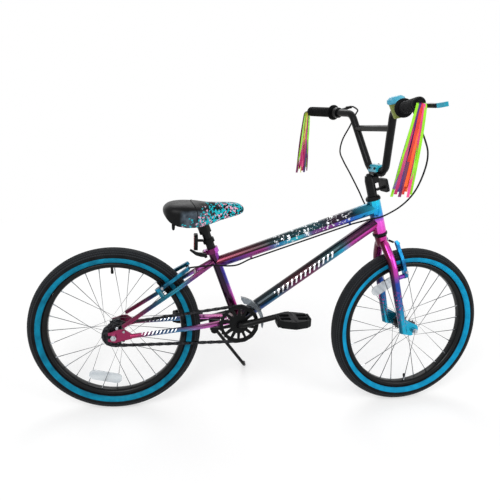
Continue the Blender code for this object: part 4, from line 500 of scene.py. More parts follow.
def add_node(tree: bpy.types.NodeTree, kind: str, inputs: dict[Any, Any] | None = None,
             settings: dict[str, Any] | None = None) -> bpy.types.Node:
    """Add a node with its settings and links.

    Args:
        tree: The node tree.
        kind: The node's type, without its prefix.
        inputs: A value or an output socket for each input, by name or number.
        settings: The node's own properties.

    Returns:
        The new node.
    """
    made = tree.nodes.new(f"ShaderNode{kind}")
    for name, value in (settings or {}).items():
        setattr(made, name, value)
    connect(tree, made, inputs or {})
    return made


@dataclass(frozen=True)
class Nodes:
    """A node tree with short ways to add the nodes that recur, each giving its output."""

    tree: bpy.types.NodeTree

    def place(self) -> Socket:
        """Return the point on the surface."""
        return add_node(self.tree, "TexCoord").outputs["Object"]

    def maths(self, operation: str, *values: Socket | float) -> Socket:
        """Return the result of an operation on numbers."""
        return add_node(self.tree, "Math", dict(enumerate(values)), {"operation": operation}).outputs[0]

    def times(self, first: Socket | float, second: Socket | float) -> Socket:
        """Return a product."""
        return self.maths("MULTIPLY", first, second)

    def vector(self, operation: str, *values: Any, output: str = "Vector") -> Socket:
        """Return the result of an operation on vectors."""
        made = add_node(self.tree, "VectorMath", dict(enumerate(values)), {"operation": operation})
        return made.outputs[output]

    def dot(self, point: Socket, line: Vector) -> Socket:
        """Return how far a point lies along a line."""
        return self.vector("DOT_PRODUCT", point, line, output="Value")

    def ranged(self, value: Socket, low: float = 0.0, high: float = 1.0, first: float = 0.0,
               last: float = 1.0, kind: str = "LINEAR") -> Socket:
        """Return a number moved from the range low to high into first to last, and kept inside it."""
        values = {"Value": value, "From Min": low, "From Max": high, "To Min": first, "To Max": last}
        return add_node(self.tree, "MapRange", values, {"interpolation_type": kind}).outputs[0]

    def ramp(self, share: Socket, row: Stops) -> Socket:
        """Return the colour of a ramp.

        Args:
            share: The place on the ramp.
            row: The ramp's stops, as (place, hex colour).

        Returns:
            The colour.
        """
        made = add_node(self.tree, "ValToRGB", {"Fac": share})
        elements = made.color_ramp.elements
        for index, (place, colour) in enumerate(row):
            stop = elements[index] if index < len(elements) else elements.new(place)
            stop.position = place
            stop.color = linear(colour)
        return made.outputs["Color"]

    def mixed(self, share: Socket, first: Any, second: Any) -> Socket:
        """Return a mix of two colours."""
        values = {"Factor": share, "A": first, "B": second}
        return add_node(self.tree, "Mix", values, {"data_type": "RGBA"}).outputs["Result"]

    def noise(self, place: Socket, size_mm: float, detail: float, roughness: float = 0.5) -> Socket:
        """Return cloudy noise with patches of a size."""
        values = {"Vector": place, "Scale": 1000.0 / size_mm, "Detail": detail, "Roughness": roughness}
        return add_node(self.tree, "TexNoise", values).outputs["Fac"]

    def bump(self, height: Socket, strength: float, depth_mm: float, invert: bool = False) -> Socket:
        """Return a normal that is tilted by a height."""
        values = {"Height": height, "Strength": strength, "Distance": depth_mm / 1000.0}
        return add_node(self.tree, "Bump", values, {"invert": invert}).outputs["Normal"]


@dataclass(frozen=True)
class Finish:
    """A named surface finish."""

    name: str

    def material(self) -> bpy.types.Material:
        """Return the finish's material, made on first use."""
        made = bpy.data.materials.get(self.name)
        if not made:
            made = bpy.data.materials.new(self.name)
            made.use_nodes = True
            tree = made.node_tree
            connect(tree, tree.nodes["Principled BSDF"], self.inputs(Nodes(tree)))
        return made

    def inputs(self, nodes: Nodes) -> dict[str, Any]:
        """Add the finish's nodes, and return the shader's inputs as values or sockets."""
        raise NotImplementedError


@dataclass(frozen=True)
class Grained(Finish):
    """One colour with cloudy tone, uneven gloss and a fine grain, which suits most made surfaces."""

    base: str
    deep: str
    roughness: float
    metallic: float = 0.0
    ior: float = 1.5
    patch_mm: float = 25.0
    grain_mm: float = 1.2
    relief_mm: float = 0.05
    unevenness: float = 0.06
    coat: float = 0.0
    coat_roughness: float = 0.08
    transmission: float = 0.0
    specular: float = 0.5

    def inputs(self, nodes: Nodes) -> dict[str, Any]:
        """Add cloudy tone for colour and gloss, and the grain for the normal.

        Args:
            nodes: The material's nodes.

        Returns:
            The shader's inputs.
        """
        place = nodes.place()
        cloud = nodes.noise(place, self.patch_mm, 4.0)
        rough, smooth = self.roughness + self.unevenness, self.roughness - self.unevenness
        return {
            "Base Color": nodes.ramp(cloud, ((0.35, self.deep), (0.65, self.base))),
            "Roughness": nodes.ranged(cloud, 0.3, 0.7, rough, smooth),
            "Normal": nodes.bump(nodes.noise(place, self.grain_mm, 2.0), 0.6, self.relief_mm),
            "Metallic": self.metallic,
            "IOR": self.ior,
            "Specular IOR Level": self.specular,
            "Coat Weight": self.coat,
            "Coat Roughness": self.coat_roughness,
            "Transmission Weight": self.transmission,
        }


class Print(Enum):
    """What is printed over a candy fade."""

    BARE = "bare"
    FLECKS = "flecks"
    BARS = "bars"


@dataclass(frozen=True)
class CandyFade(Finish):
    """Candy lacquer faded along a plated steel tube, with painted shade on one side and painted highlights in
    its lighter fade.

    The lacquer is clear dye over bright metal, so it gives a coloured mirror under a hard clear coat.
    """

    frame: Matrix
    start: Vector
    end: Vector
    # The way the painted shade faces, the lighter fade with its painted highlights, and the fade in painted
    # shade
    shade: Vector
    bright: Stops
    dark: Stops
    ink: str = "#F4F6FA"
    printed: Print = Print.BARE
    print_span: tuple[float, float] = (0.2, 0.8)
    fleck_mm: float = 11.0
    fleck_share: float = 0.57
    fleck_fade: float = 0.06
    bar_pitch: float = 0.0165
    bar_half: float = 0.0078
    bar_share: float = 0.34
    bar_lean: float = 0.7
    bar_fade: float = 0.004
    # Where round the tube the painted shade starts, and how soft its border is
    edge: float = 0.18
    edge_blur: float = 0.22
    drift_mm: float = 60.0
    wander: float = 0.10

    def inputs(self, nodes: Nodes) -> dict[str, Any]:
        """Add two fades along the tube, one with painted highlights and one in painted shade, mixed round it,
        with a print over a stretch of it.

        Args:
            nodes: The material's nodes.

        Returns:
            The shader's inputs.
        """
        coords = add_node(nodes.tree, "TexCoord").outputs
        place = coords["Object"]
        first = self.frame @ self.start
        run = self.frame @ self.end - first
        offset = nodes.vector("SUBTRACT", place, first)
        along = nodes.dot(offset, run / run.length_squared)
        drift = nodes.noise(place, self.drift_mm, 2.0)
        wandered = nodes.maths("MULTIPLY_ADD", drift, self.wander, along)
        share = nodes.maths("SUBTRACT", wandered, self.wander / 2.0)
        # Painted shade: the colour turns to the darker fade where the surface faces the shade's way
        facing_painted_shade = nodes.dot(coords["Normal"], (self.frame.to_3x3() @ self.shade).normalized())
        low, high = self.edge - self.edge_blur, self.edge + self.edge_blur
        painted_shade_share = nodes.ranged(facing_painted_shade, low, high, kind="SMOOTHSTEP")
        colour = nodes.mixed(painted_shade_share, nodes.ramp(share, self.bright), nodes.ramp(share, self.dark))
        if self.printed is not Print.BARE:
            colour = nodes.mixed(self.marks(nodes, place, offset, along), colour, linear(self.ink))
        return {
            "Base Color": colour,
            "Roughness": nodes.ranged(drift, first=0.20, last=0.32),
            "Metallic": 0.85,
            "Specular IOR Level": 0.3,
            "Coat Weight": 0.3,
            "Coat Roughness": 0.04,
        }

    def marks(self, nodes: Nodes, place: Socket, offset: Socket, along: Socket) -> Socket:
        """Return the mask of the print, which fades in and out over its span.

        Args:
            nodes: The material's nodes.
            place: The point on the tube.
            offset: The point from the fade's start.
            along: The point's share of the fade.

        Returns:
            The mask.
        """
        low, high = self.print_span
        if self.printed is Print.BARS:
            mask, soft = self.bars(nodes, offset, along), self.bar_fade
        else:
            blots = nodes.noise(place, self.fleck_mm, 5.0, 0.7)
            mask, soft = nodes.ranged(blots, self.fleck_share, self.fleck_share + 0.02), self.fleck_fade
        window = nodes.ramp(along, (
            (low - soft, "#000000"), (low, "#FFFFFF"), (high, "#FFFFFF"), (high + soft, "#000000")))
        return nodes.times(mask, window)

    def bars(self, nodes: Nodes, offset: Socket, along: Socket) -> Socket:
        """Return a mask of slanted bars in a band along both sides of the tube.

        Args:
            nodes: The material's nodes.
            offset: The point from the fade's start.
            along: The point's share of the fade.

        Returns:
            The mask.
        """
        run = self.start - self.end
        height = nodes.dot(offset, self.frame.to_3x3() @ LATERAL.cross(run).normalized())
        lean = nodes.times(height, -self.bar_lean / self.bar_pitch)
        phase = nodes.maths("MULTIPLY_ADD", along, run.length / self.bar_pitch, lean)
        bar = nodes.maths("LESS_THAN", nodes.maths("FRACT", phase), self.bar_share)
        band = nodes.maths("LESS_THAN", nodes.maths("ABSOLUTE", height), self.bar_half)
        return nodes.times(bar, band)


@dataclass(frozen=True)
class TyreRubber(Finish):
    """Moulded tyre rubber: matt black with a coloured sidewall band and small tread blocks, with painted
    shade in the grooves between them.
    """

    centre: Vector
    axis: Vector
    band: str
    band_deep: str
    band_low: float = 0.2122
    band_high: float = 0.2262
    band_edge: float = 0.0008
    tread_from: float = 0.2360
    tread_edge: float = 0.001
    block_mm: float = 7.0
    groove_mm: float = 2.2

    def inputs(self, nodes: Nodes) -> dict[str, Any]:
        """Add the band by its radius, and the tread blocks by arc length and width.

        Args:
            nodes: The material's nodes.

        Returns:
            The shader's inputs.
        """
        place = nodes.place()
        offset = nodes.vector("SUBTRACT", place, self.centre)
        x, y, width = (nodes.dot(offset, line) for line in (*square_to(self.axis), self.axis))
        flat = add_node(nodes.tree, "CombineXYZ", {"X": x, "Y": y}).outputs[0]
        radius = nodes.vector("LENGTH", flat, output="Value")
        cloud = nodes.noise(place, 25.0, 5.0)
        inner = nodes.ranged(radius, self.band_low - self.band_edge, self.band_low)
        outer = nodes.ranged(radius, self.band_high, self.band_high + self.band_edge, 1.0, 0.0)
        banded = nodes.times(outer, inner)
        arc = nodes.times(nodes.maths("ARCTAN2", x, y), TYRE_RADIUS)
        blocks = add_node(nodes.tree, "TexBrick", {
            "Vector": add_node(nodes.tree, "CombineXYZ", {"X": arc, "Y": width}).outputs[0],
            "Scale": 1000.0 / self.block_mm, "Mortar Size": 0.07, "Mortar Smooth": 0.2,
            "Brick Width": 1.0, "Row Height": 0.62}).outputs["Fac"]
        tread = nodes.ranged(radius, self.tread_from, self.tread_from + self.tread_edge)
        grooves_bump_and_painted_shade = nodes.times(blocks, tread)
        rubber = nodes.ramp(cloud, ((0.3, "#0A0B0C"), (0.7, "#17191B")))
        # The tread face is mixed halfway toward a paler grey than the sidewalls
        tread_greyed = nodes.mixed(nodes.times(tread, 0.5), rubber, linear("#3A3D41"))
        # Painted shade: the grooves between the tread blocks are coloured near-black
        cut = nodes.mixed(grooves_bump_and_painted_shade, tread_greyed, linear("#050506"))
        paint = nodes.ramp(cloud, ((0.3, self.band_deep), (0.7, self.band)))
        return {
            "Base Color": nodes.mixed(banded, cut, paint),
            "Roughness": nodes.ranged(banded, first=0.62, last=0.45),
            "Specular IOR Level": 0.08,
            "Normal": nodes.bump(grooves_bump_and_painted_shade, 1.0, self.groove_mm, invert=True),
        }


@dataclass(frozen=True)
class Prismatic(Finish):
    """Moulded acrylic reflector: clear or tinted, with cube-corner facets behind a polished face."""

    base: str
    deep: str
    facet_mm: float = 3.0
    facet_depth_mm: float = 0.6

    def inputs(self, nodes: Nodes) -> dict[str, Any]:
        """Add facets for the normal, and for a tone that deepens toward each facet's edge as painted shade.

        Args:
            nodes: The material's nodes.

        Returns:
            The shader's inputs.
        """
        values = {"Vector": nodes.place(), "Scale": 1000.0 / self.facet_mm, "Randomness": 0.15}
        cells = add_node(nodes.tree, "TexVoronoi", values).outputs["Distance"]
        return {
            # Painted shade: each facet darkens toward its edges
            "Base Color": nodes.ramp(cells, ((0.1, self.base), (0.7, self.deep))),
            "Normal": nodes.bump(cells, 0.7, self.facet_depth_mm),
            "Roughness": 0.12,
            "IOR": 1.49,
            "Coat Weight": 0.6,
        }


@dataclass(frozen=True)
class SaddleVinyl(Finish):
    """Embossed vinyl over foam: black at the rear, a painted highlight in grey low on the sides, and a
    splashed print to the nose.
    """

    tail: Vector
    nose: Vector
    up: Vector
    splash_from: float = 0.47
    splash_full: float = 0.78
    splash_lean: float = -4.6
    cell_mm: float = 4.6
    cloud_mm: float = 1000.0 / 60.0
    grain_mm: float = 1.6
    grain_depth_mm: float = 0.3

    # Each splash's colour, its shift in the pattern and how bare it leaves the nose
    SPLASHES = (("#17AEBB", 0.0, 0.50), ("#D9A2BA", 7.3, 0.84))

    def inputs(self, nodes: Nodes) -> dict[str, Any]:
        """Add the print by its place along the saddle, and the leather grain for the normal.

        Args:
            nodes: The material's nodes.

        Returns:
            The shader's inputs.
        """
        place = nodes.place()
        run = self.nose - self.tail
        offset = nodes.vector("SUBTRACT", place, self.tail)
        along = nodes.dot(offset, run / run.length_squared)
        height = nodes.dot(offset, self.up)
        cloud = nodes.noise(place, self.cloud_mm, 4.0)
        # A painted highlight, grey, lies low on the sides, between the black rear and the print
        ahead = nodes.ranged(along, 0.20, 0.26)
        behind = nodes.ranged(along, 0.48, 0.62, 1.0, 0.0)
        below = nodes.ranged(height, -0.024, -0.016, 1.0, 0.0)
        panel = nodes.times(nodes.times(ahead, behind), below)
        hide = nodes.ramp(cloud, ((0.35, "#040405"), (0.7, "#0A0B0C")))
        grey = nodes.ramp(cloud, ((0.35, "#2C343C"), (0.7, "#56616C")))
        colour = nodes.mixed(panel, hide, grey)
        # The print leans: it starts further back low on the sides than on the crown
        leant = nodes.maths("MULTIPLY_ADD", height, self.splash_lean, along)
        for tint, seed, limit in self.SPLASHES:
            # Blocky cells are picked by their random shade, and more of them toward the nose
            moved = nodes.vector("ADD", place, (seed, seed, seed))
            cells = add_node(nodes.tree, "TexVoronoi", {"Vector": moved, "Scale": 1000.0 / self.cell_mm},
                             {"distance": "CHEBYCHEV"}).outputs["Color"]
            shade = add_node(nodes.tree, "SeparateColor", {"Color": cells}).outputs[0]
            bare = nodes.ranged(leant, self.splash_from, self.splash_full, 1.0, limit)
            colour = nodes.mixed(nodes.maths("GREATER_THAN", shade, bare), colour, linear(tint))
        grain = add_node(nodes.tree, "TexVoronoi", {"Vector": place, "Scale": 1000.0 / self.grain_mm},
                         {"feature": "DISTANCE_TO_EDGE"}).outputs["Distance"]
        return {
            "Base Color": colour,
            "Normal": nodes.bump(grain, 0.5, self.grain_depth_mm),
            "Roughness": 0.40,
            "Specular IOR Level": 0.14,
        }


# Powder coat over steel: an even satin black with a faint orange peel
POWDER_BLACK = Grained("powder_coated_steel", "#0D0E10", "#070708", 0.36, grain_mm=2.0, relief_mm=0.06,
                       coat=0.05, specular=0.12)
# Enamelled rim: smoother than powder coat, so its edges catch the light
RIM_BLACK = Grained("black_enamelled_rim", "#0F1113", "#08090A", 0.30, ior=1.55, grain_mm=3.0, relief_mm=0.02,
                    coat=0.05, specular=0.12)
# Moulded ABS: matt black with a spark-eroded texture
ABS_BLACK = Grained("moulded_abs_black", "#0F1011", "#08090A", 0.46, ior=1.53, grain_mm=1.0, relief_mm=0.10,
                    specular=0.10)
# Moulded TPR rubber: soft, dull and slightly dusty
GRIP_RUBBER = Grained("moulded_grip_rubber", "#0F1011", "#08080A", 0.62, ior=1.52, grain_mm=0.9,
                      relief_mm=0.12, specular=0.07)
# Zinc-plated steel wire and nuts: bright grey, drawn smooth
PLATED_STEEL = Grained("zinc_plated_steel", "#B9BCC0", "#8D9196", 0.30, metallic=1.0, grain_mm=1.5,
                       relief_mm=0.02)
# Drawn stainless spokes are given painted shade: darker than the nuts, as thin wire reads against a pale wall
SPOKE_STEEL_PAINTED_SHADE = Grained("drawn_spoke_steel", "#54565A", "#333538", 0.34, metallic=1.0, grain_mm=1.5,
                      relief_mm=0.02)
# Oiled chain steel: dark, with grease in its hollows
CHAIN_STEEL = Grained("oiled_chain_steel", "#3C3D40", "#141416", 0.40, metallic=1.0, patch_mm=6.0)
# Anodised aluminium: the dye is in the metal's own skin, so it keeps a metal sheen
ANODISED_BLUE, ANODISED_NAVY, ANODISED_TEAL = (
    Grained(f"anodised_aluminium_{word}", base, deep, roughness, metallic=0.9, patch_mm=patch_mm,
            grain_mm=1.0, relief_mm=0.03, coat=0.2)
    for word, base, deep, roughness, patch_mm in (
        ("blue", "#1590C4", "#0A4A7C", 0.28, 18.0), ("navy", "#0E1A34", "#060C1A", 0.30, 30.0),
        ("teal", "#1280A4", "#083C54", 0.26, 18.0)))
# Smoked polycarbonate: thin and see-through, with moulding haze
SMOKED_SHEET = Grained("smoked_polycarbonate", "#8F979D", "#737B82", 0.20, ior=1.2, grain_mm=4.0, coat=0.3,
                       transmission=0.75)
# Acrylic moulded against a faceted die and polished in front, clear and dyed red
CLEAR_ACRYLIC = Prismatic("clear_acrylic_reflector", "#E8ECEE", "#B4BCC2")
RED_ACRYLIC = Prismatic("red_acrylic_reflector", "#A3141A", "#560A0E")
# Moulded ABS in colour, with a soft gloss
ABS_LIME = Grained("moulded_abs_lime", "#7C8A16", "#5C680C", 0.40, ior=1.53, grain_mm=2.0, coat=0.2)
ABS_CYAN = Grained("moulded_abs_cyan", "#3FB4D0", "#2C98B8", 0.42, ior=1.53, grain_mm=2.0, coat=0.2)
# Stoved enamel over a cast cap: thick, even and glossy
CAP_CYAN = Grained("enamelled_stem_cap", "#1DB4CC", "#0E8CA8", 0.34, grain_mm=3.0, relief_mm=0.03, coat=0.6)
# Cable jacket extruded in vinyl: smooth along its length, with little gloss
CABLE_JACKET = Grained("extruded_cable_jacket", "#161718", "#0C0D0E", 0.46, grain_mm=3.0, relief_mm=0.03,
                       specular=0.10)
# Cut vinyl ribbon: thin, glossy and even
RIBBONS = tuple(
    Grained(f"cut_vinyl_{word}", base, deep, 0.34, ior=1.53, patch_mm=40.0, grain_mm=8.0, relief_mm=0.10)
    for word, base, deep in (
        ("lime", "#9BE81C", "#84CF14"), ("violet", "#4B1276", "#3A0C60"), ("magenta", "#C01468", "#A00E55"),
        ("plum", "#7A0F58", "#5E0A44"), ("red", "#E2301F", "#C42216"), ("orange", "#FF6A2A", "#F25518"),
        ("pink", "#F0448C", "#DC2F78"), ("yellow", "#D8DC28", "#BCC01C")))

PLAIN_FINISHES: tuple[tuple[Finish, tuple[str, ...]], ...] = (
    (POWDER_BLACK, ("headset_upper_cup", "headset_lower_cup", "seat_clamp_lever", "bearing_cup_right",
                    "bearing_cup_left", "kickstand_bracket", "kickstand_leg", "seatpost", "saddle_clamp",
                    "stem", "crank", "brake_perch_right", "brake_perch_left")),
    (ABS_BLACK, ("chainring_guard", "pedal_right", "pedal_left", "front_reflector", "rear_reflector")),
    (SPOKE_STEEL_PAINTED_SHADE, ("front_hub", "rear_hub")),
    (PLATED_STEEL, ("front_axle", "rear_axle")),
    (CHAIN_STEEL, ("chain", "chainring", "freewheel_cog")),
    (ANODISED_BLUE, ("front_brake_arm_right", "front_brake_arm_left")),
    (ANODISED_TEAL, ("rear_brake_arm_right", "rear_brake_arm_left")),
    (ANODISED_NAVY, ("brake_lever_right", "brake_lever_left")),
    (SMOKED_SHEET, ("chain_guard",)),
    (CLEAR_ACRYLIC, ("front_spoke_reflector", "rear_spoke_reflector")),
    (ABS_LIME, ("bell_body",)),
    (ABS_CYAN, ("bell_cap",)),
    (CAP_CYAN, ("stem_cap",)),
)


@dataclass(frozen=True)
class Paintwork:
    """The finishes of the CAD nodes, with the candy fades of the frame and the fork."""

    rig: Rig

    # Where the painted shade lies: on top of the long tubes, and to the rear of the seat and head tubes
    ON_TOP = Vector((-0.25, -0.25, 1.0))
    SEAT_REAR = Vector((-0.75, -0.65, 0.0))
    HEAD_REAR = Vector((-0.55, 0.2, -0.2))
    SHELL_HALF = 0.04 * LATERAL

    def dress(self, nodes: dict[str, Piece]) -> None:
        """Give the CAD nodes that show their finishes.

        Args:
            nodes: The CAD nodes by name.
        """
        for finish, names in (*self.fades(), *PLAIN_FINISHES):
            for name in names:
                dress(nodes[name].data, finish)

    def fades(self) -> list[tuple[CandyFade, tuple[str, ...]]]:
        """Return the fades of the frame's tubes and seat clamp, each with its nodes."""
        bracket = on_seat_tube(0.0)
        # Each row: name, nodes, start, end, the way the painted shade faces, the lighter fade with its
        # painted highlights, the fade in painted shade, and more settings
        rows: tuple[tuple[Any, ...], ...] = (
            ("top_tube", ("top_tube",), on_seat_tube(0.190), on_head_tube(0.4055), self.ON_TOP,
             "0 #5A1260, 10 #2E2480, 26 #A03A86, 36 #1E6CA4, 48 #22A8BA, 60 #6A2F7A, 72 #7C2F84, 82 #1F58C0,"
             "92 #0C94D0, 100 #12B8DC",
             "0 #5A0E2A, 22 #300614, 32 #081418, 45 #06262C, 62 #0A343C, 74 #240C20, 86 #08222E, 96 #0C7C98,"
             "100 #10A0C0", {"printed": Print.FLECKS, "print_span": (0.40, 0.80)}),
            ("down_tube", ("down_tube",), bracket, on_head_tube(0.362), self.ON_TOP,
             "0 #141F52, 14 #1A3876, 26 #0F5874, 38 #5A1846, 52 #6A204E, 64 #1C6880, 74 #18A4CC, 80 #B848A4,"
             "90 #D844B8, 100 #B82078",
             "0 #0B0E18, 14 #0A141C, 26 #061C22, 38 #2C0812, 52 #220812, 62 #061E22, 74 #08282E, 82 #34102A,"
             "100 #340A30", {"printed": Print.BARS, "print_span": (0.27, 0.68)}),
            ("seat_tube", ("seat_tube",), bracket, on_seat_tube(0.238), self.SEAT_REAR,
             "0 #8A1450, 24 #C0208E, 38 #D45CCC, 52 #4E44AC, 66 #3A38B4, 84 #9C40CC, 100 #B43AB4",
             "0 #380616, 40 #280A2A, 70 #1A0A20, 100 #480A38", {}),
            ("head_tube", ("head_tube",), on_head_tube(0.3255), on_head_tube(0.4295), self.HEAD_REAR,
             "0 #D844B4, 36 #E85CD8, 48 #6A50B0, 60 #1498E0, 100 #18C6E4",
             "0 #6A0E38, 36 #8A2A66, 50 #26264A, 62 #123C6A, 100 #0F6C86", {"edge": 0.3}),
            ("seat_stays", ("seat_stays",), STAY_FOOT, STAY_TOP, self.ON_TOP,
             "0 #A0205C, 18 #901E58, 30 #1E3070, 44 #0C7C98, 60 #2AB4D0, 74 #8A5CC4, 86 #E070D4, 100 #8A3C94",
             "0 #5A1232, 18 #4A1028, 32 #0E1C30, 50 #0A4450, 66 #184C5E, 80 #5A1E46, 100 #5E2448", {}),
            ("chain_stays", ("chain_stay_right", "chain_stay_left"), Vector((0.0, 0.0, 0.255)),
             Vector((0.337, 0.0, 0.282)), self.ON_TOP,
             "0 #A0265C, 18 #A4285E, 30 #3A3C6C, 48 #2C6A9C, 62 #4E9AC8, 76 #C868C0, 100 #D85CC0",
             "0 #76193E, 18 #7A1C42, 34 #20283C, 52 #1C3C58, 68 #5A3058, 100 #6E2850",
             {"printed": Print.BARS, "print_span": (0.24, 0.54), "bar_half": 0.0045, "bar_pitch": 0.011}),
            ("bracket_shell", ("bottom_bracket_shell",), bracket - self.SHELL_HALF, bracket + self.SHELL_HALF,
             self.ON_TOP, "0 #B02C7C, 100 #8E1E58", "0 #4A0A22, 100 #3A0C20", {}),
            ("seat_clamp", ("seat_clamp",), on_seat_tube(0.22), on_seat_tube(0.24), self.SEAT_REAR,
             "0 #B450C8, 100 #C452C8", "0 #5A1048, 100 #6A1850", {}),
        )
        return [
            (CandyFade(f"candy_{word}", self.rig.bike, *line, stops(bright), stops(dark), **more), names)
            for word, names, *line, bright, dark, more in rows]

    def fork_finish(self) -> CandyFade:
        """Return the fork's fade, pink at the crown and splashed cyan at the dropouts, with painted shade
        toward its rear and painted highlights in its lighter fade.
        """
        return CandyFade(
            "candy_fork", self.rig.steering, -0.02 * UP, 0.31 * UP, Vector((-0.9, 0.25, 0.1)),
            stops("0 #14A6C8, 22 #0E9CC0, 34 #1E64A0, 48 #124C9C, 58 #1E40A0, 66 #B838A6, 82 #D43CB4,"
                  "100 #C42C8E"),
            stops("0 #0B6A80, 25 #0A4A64, 45 #0C2C54, 60 #2A103C, 75 #54082C, 100 #54082A"),
            ink="#D02480", printed=Print.FLECKS, print_span=(0.20, 0.46), fleck_mm=6.0, edge=0.25)


@dataclass(frozen=True)
class Wheel:
    """One wheel's tyre, rim, spoke nipples and valve."""

    word: str
    place: Matrix
    hub: Piece
    band: str
    band_deep: str
    valve_angle: float
    segments: int = 112
    rim_inner: float = 0.1937
    rim_outer: float = 0.2085
    nipple_length: float = 0.011
    nipple_radii: tuple[float, float] = (0.0021, 0.0016)
    # What counts as a spoke of the hub: its root's and tip's reach, and how near the edges of one tip lie
    spoke_root: float = 0.10
    spoke_tip: float = 0.185
    spoke_near: float = 0.005

    # Half sections, as (radius, height), and the valve's (distance, radius) from the rim
    TYRE = ((0.2140, 0.0205), (0.2215, 0.0241), (0.2294, 0.0250), (0.2385, 0.0232), (0.2460, 0.0182),
            (0.2505, 0.0110), (0.2528, 0.0))
    TYRE_INSIDE = ((0.2294, -0.0214), (0.2480, 0.0), (0.2294, 0.0214))
    RIM = ((0.1952, 0.0118), (0.1985, 0.0152), (0.2010, RIM_HALF), (0.2068, RIM_HALF))
    VALVE = ((0.001, 0.0042), (-0.004, 0.0038), (-0.010, 0.0034), (-0.0105, 0.0042), (-0.018, 0.0042),
             (-0.020, 0.0030))

    @property
    def body(self) -> Body:
        """Return the wheel's body."""
        return Body(f"{self.word}_wheel")

    def build(self) -> None:
        """Build and dress the wheel's pieces."""
        self.tyre()
        self.rim()
        self.nipples()
        self.valve()

    def tyre(self) -> None:
        """Build the round tyre with its sidewalls and crowned tread."""
        bead = self.rim_outer + GAP
        half = [Vector((radius, height, 0.0)) for radius, height in ((bead, 0.0135), *self.TYRE)]
        outer = [(point.x, point.y) for point in spline(half, 3)]
        outer += [(radius, -height) for radius, height in outer[-2::-1]]
        inner = [(bead, -0.0100), *self.TYRE_INSIDE, (bead, 0.0100)]
        rubber = TyreRubber(f"moulded_tyre_rubber_{self.word}", self.place.translation,
                            self.place.to_3x3() @ LATERAL, self.band, self.band_deep)
        mesh = lathe(outer + inner, self.place, self.segments)
        add_piece(f"{self.word}_tyre_moulded", mesh, rubber, self.body, "tyre_rubber", f"{self.word}_tyre")

    def rim(self) -> None:
        """Build the box-section rim with its rounded brake walls."""
        half = [(self.rim_inner, 0.0), (self.rim_inner, 0.0070), *self.RIM, (self.rim_outer, 0.0148)]
        profile = half + [(radius, -height) for radius, height in half[:0:-1]]
        mesh = lathe(profile, self.place, self.segments)
        add_piece(f"{self.word}_rim_rolled", mesh, RIM_BLACK, self.body, "black_steel", f"{self.word}_rim")

    def spokes(self) -> list[tuple[Vector, Vector]]:
        """Return each spoke of the hub as its root and tip, in the wheel's frame."""
        inverse, data = self.place.inverted(), self.hub.data
        groups: list[list[tuple[Vector, Vector]]] = []
        for edge in data.edges:
            ends = [inverse @ data.vertices[index].co for index in edge.vertices]
            root, tip = sorted(ends, key=lambda point: math.hypot(point.x, point.z))
            if math.hypot(root.x, root.z) > self.spoke_root or math.hypot(tip.x, tip.z) < self.spoke_tip:
                continue
            near = [group for group in groups if (group[0][1] - tip).length < self.spoke_near]
            if near:
                near[0].append((root, tip))
            else:
                groups.append([(root, tip)])
        return [(mean(root for root, _ in group), mean(tip for _, tip in group)) for group in groups]

    def nipples(self) -> None:
        """Build the nipples that hold the spokes in the rim."""
        mesh = bmesh.new()
        radius, end = self.nipple_radii
        for root, tip in self.spokes():
            along = (root - tip).normalized()
            start = self.place @ (tip - 0.001 * along)
            rod(start, self.place @ (tip + self.nipple_length * along), radius, 6, mesh, end)
        add_piece(f"{self.word}_nipples", mesh, PLATED_STEEL, self.body, "silver_steel")

    def valve(self) -> None:
        """Build the rubber valve stem with its cap."""
        out = Vector((math.cos(self.valve_angle), 0.0, math.sin(self.valve_angle)))
        mesh = turned(self.place @ (out * self.rim_inner), self.place.to_3x3() @ out, self.VALVE, 10)
        add_piece(f"{self.word}_valve", mesh, ABS_BLACK, self.body, "black_rubber")


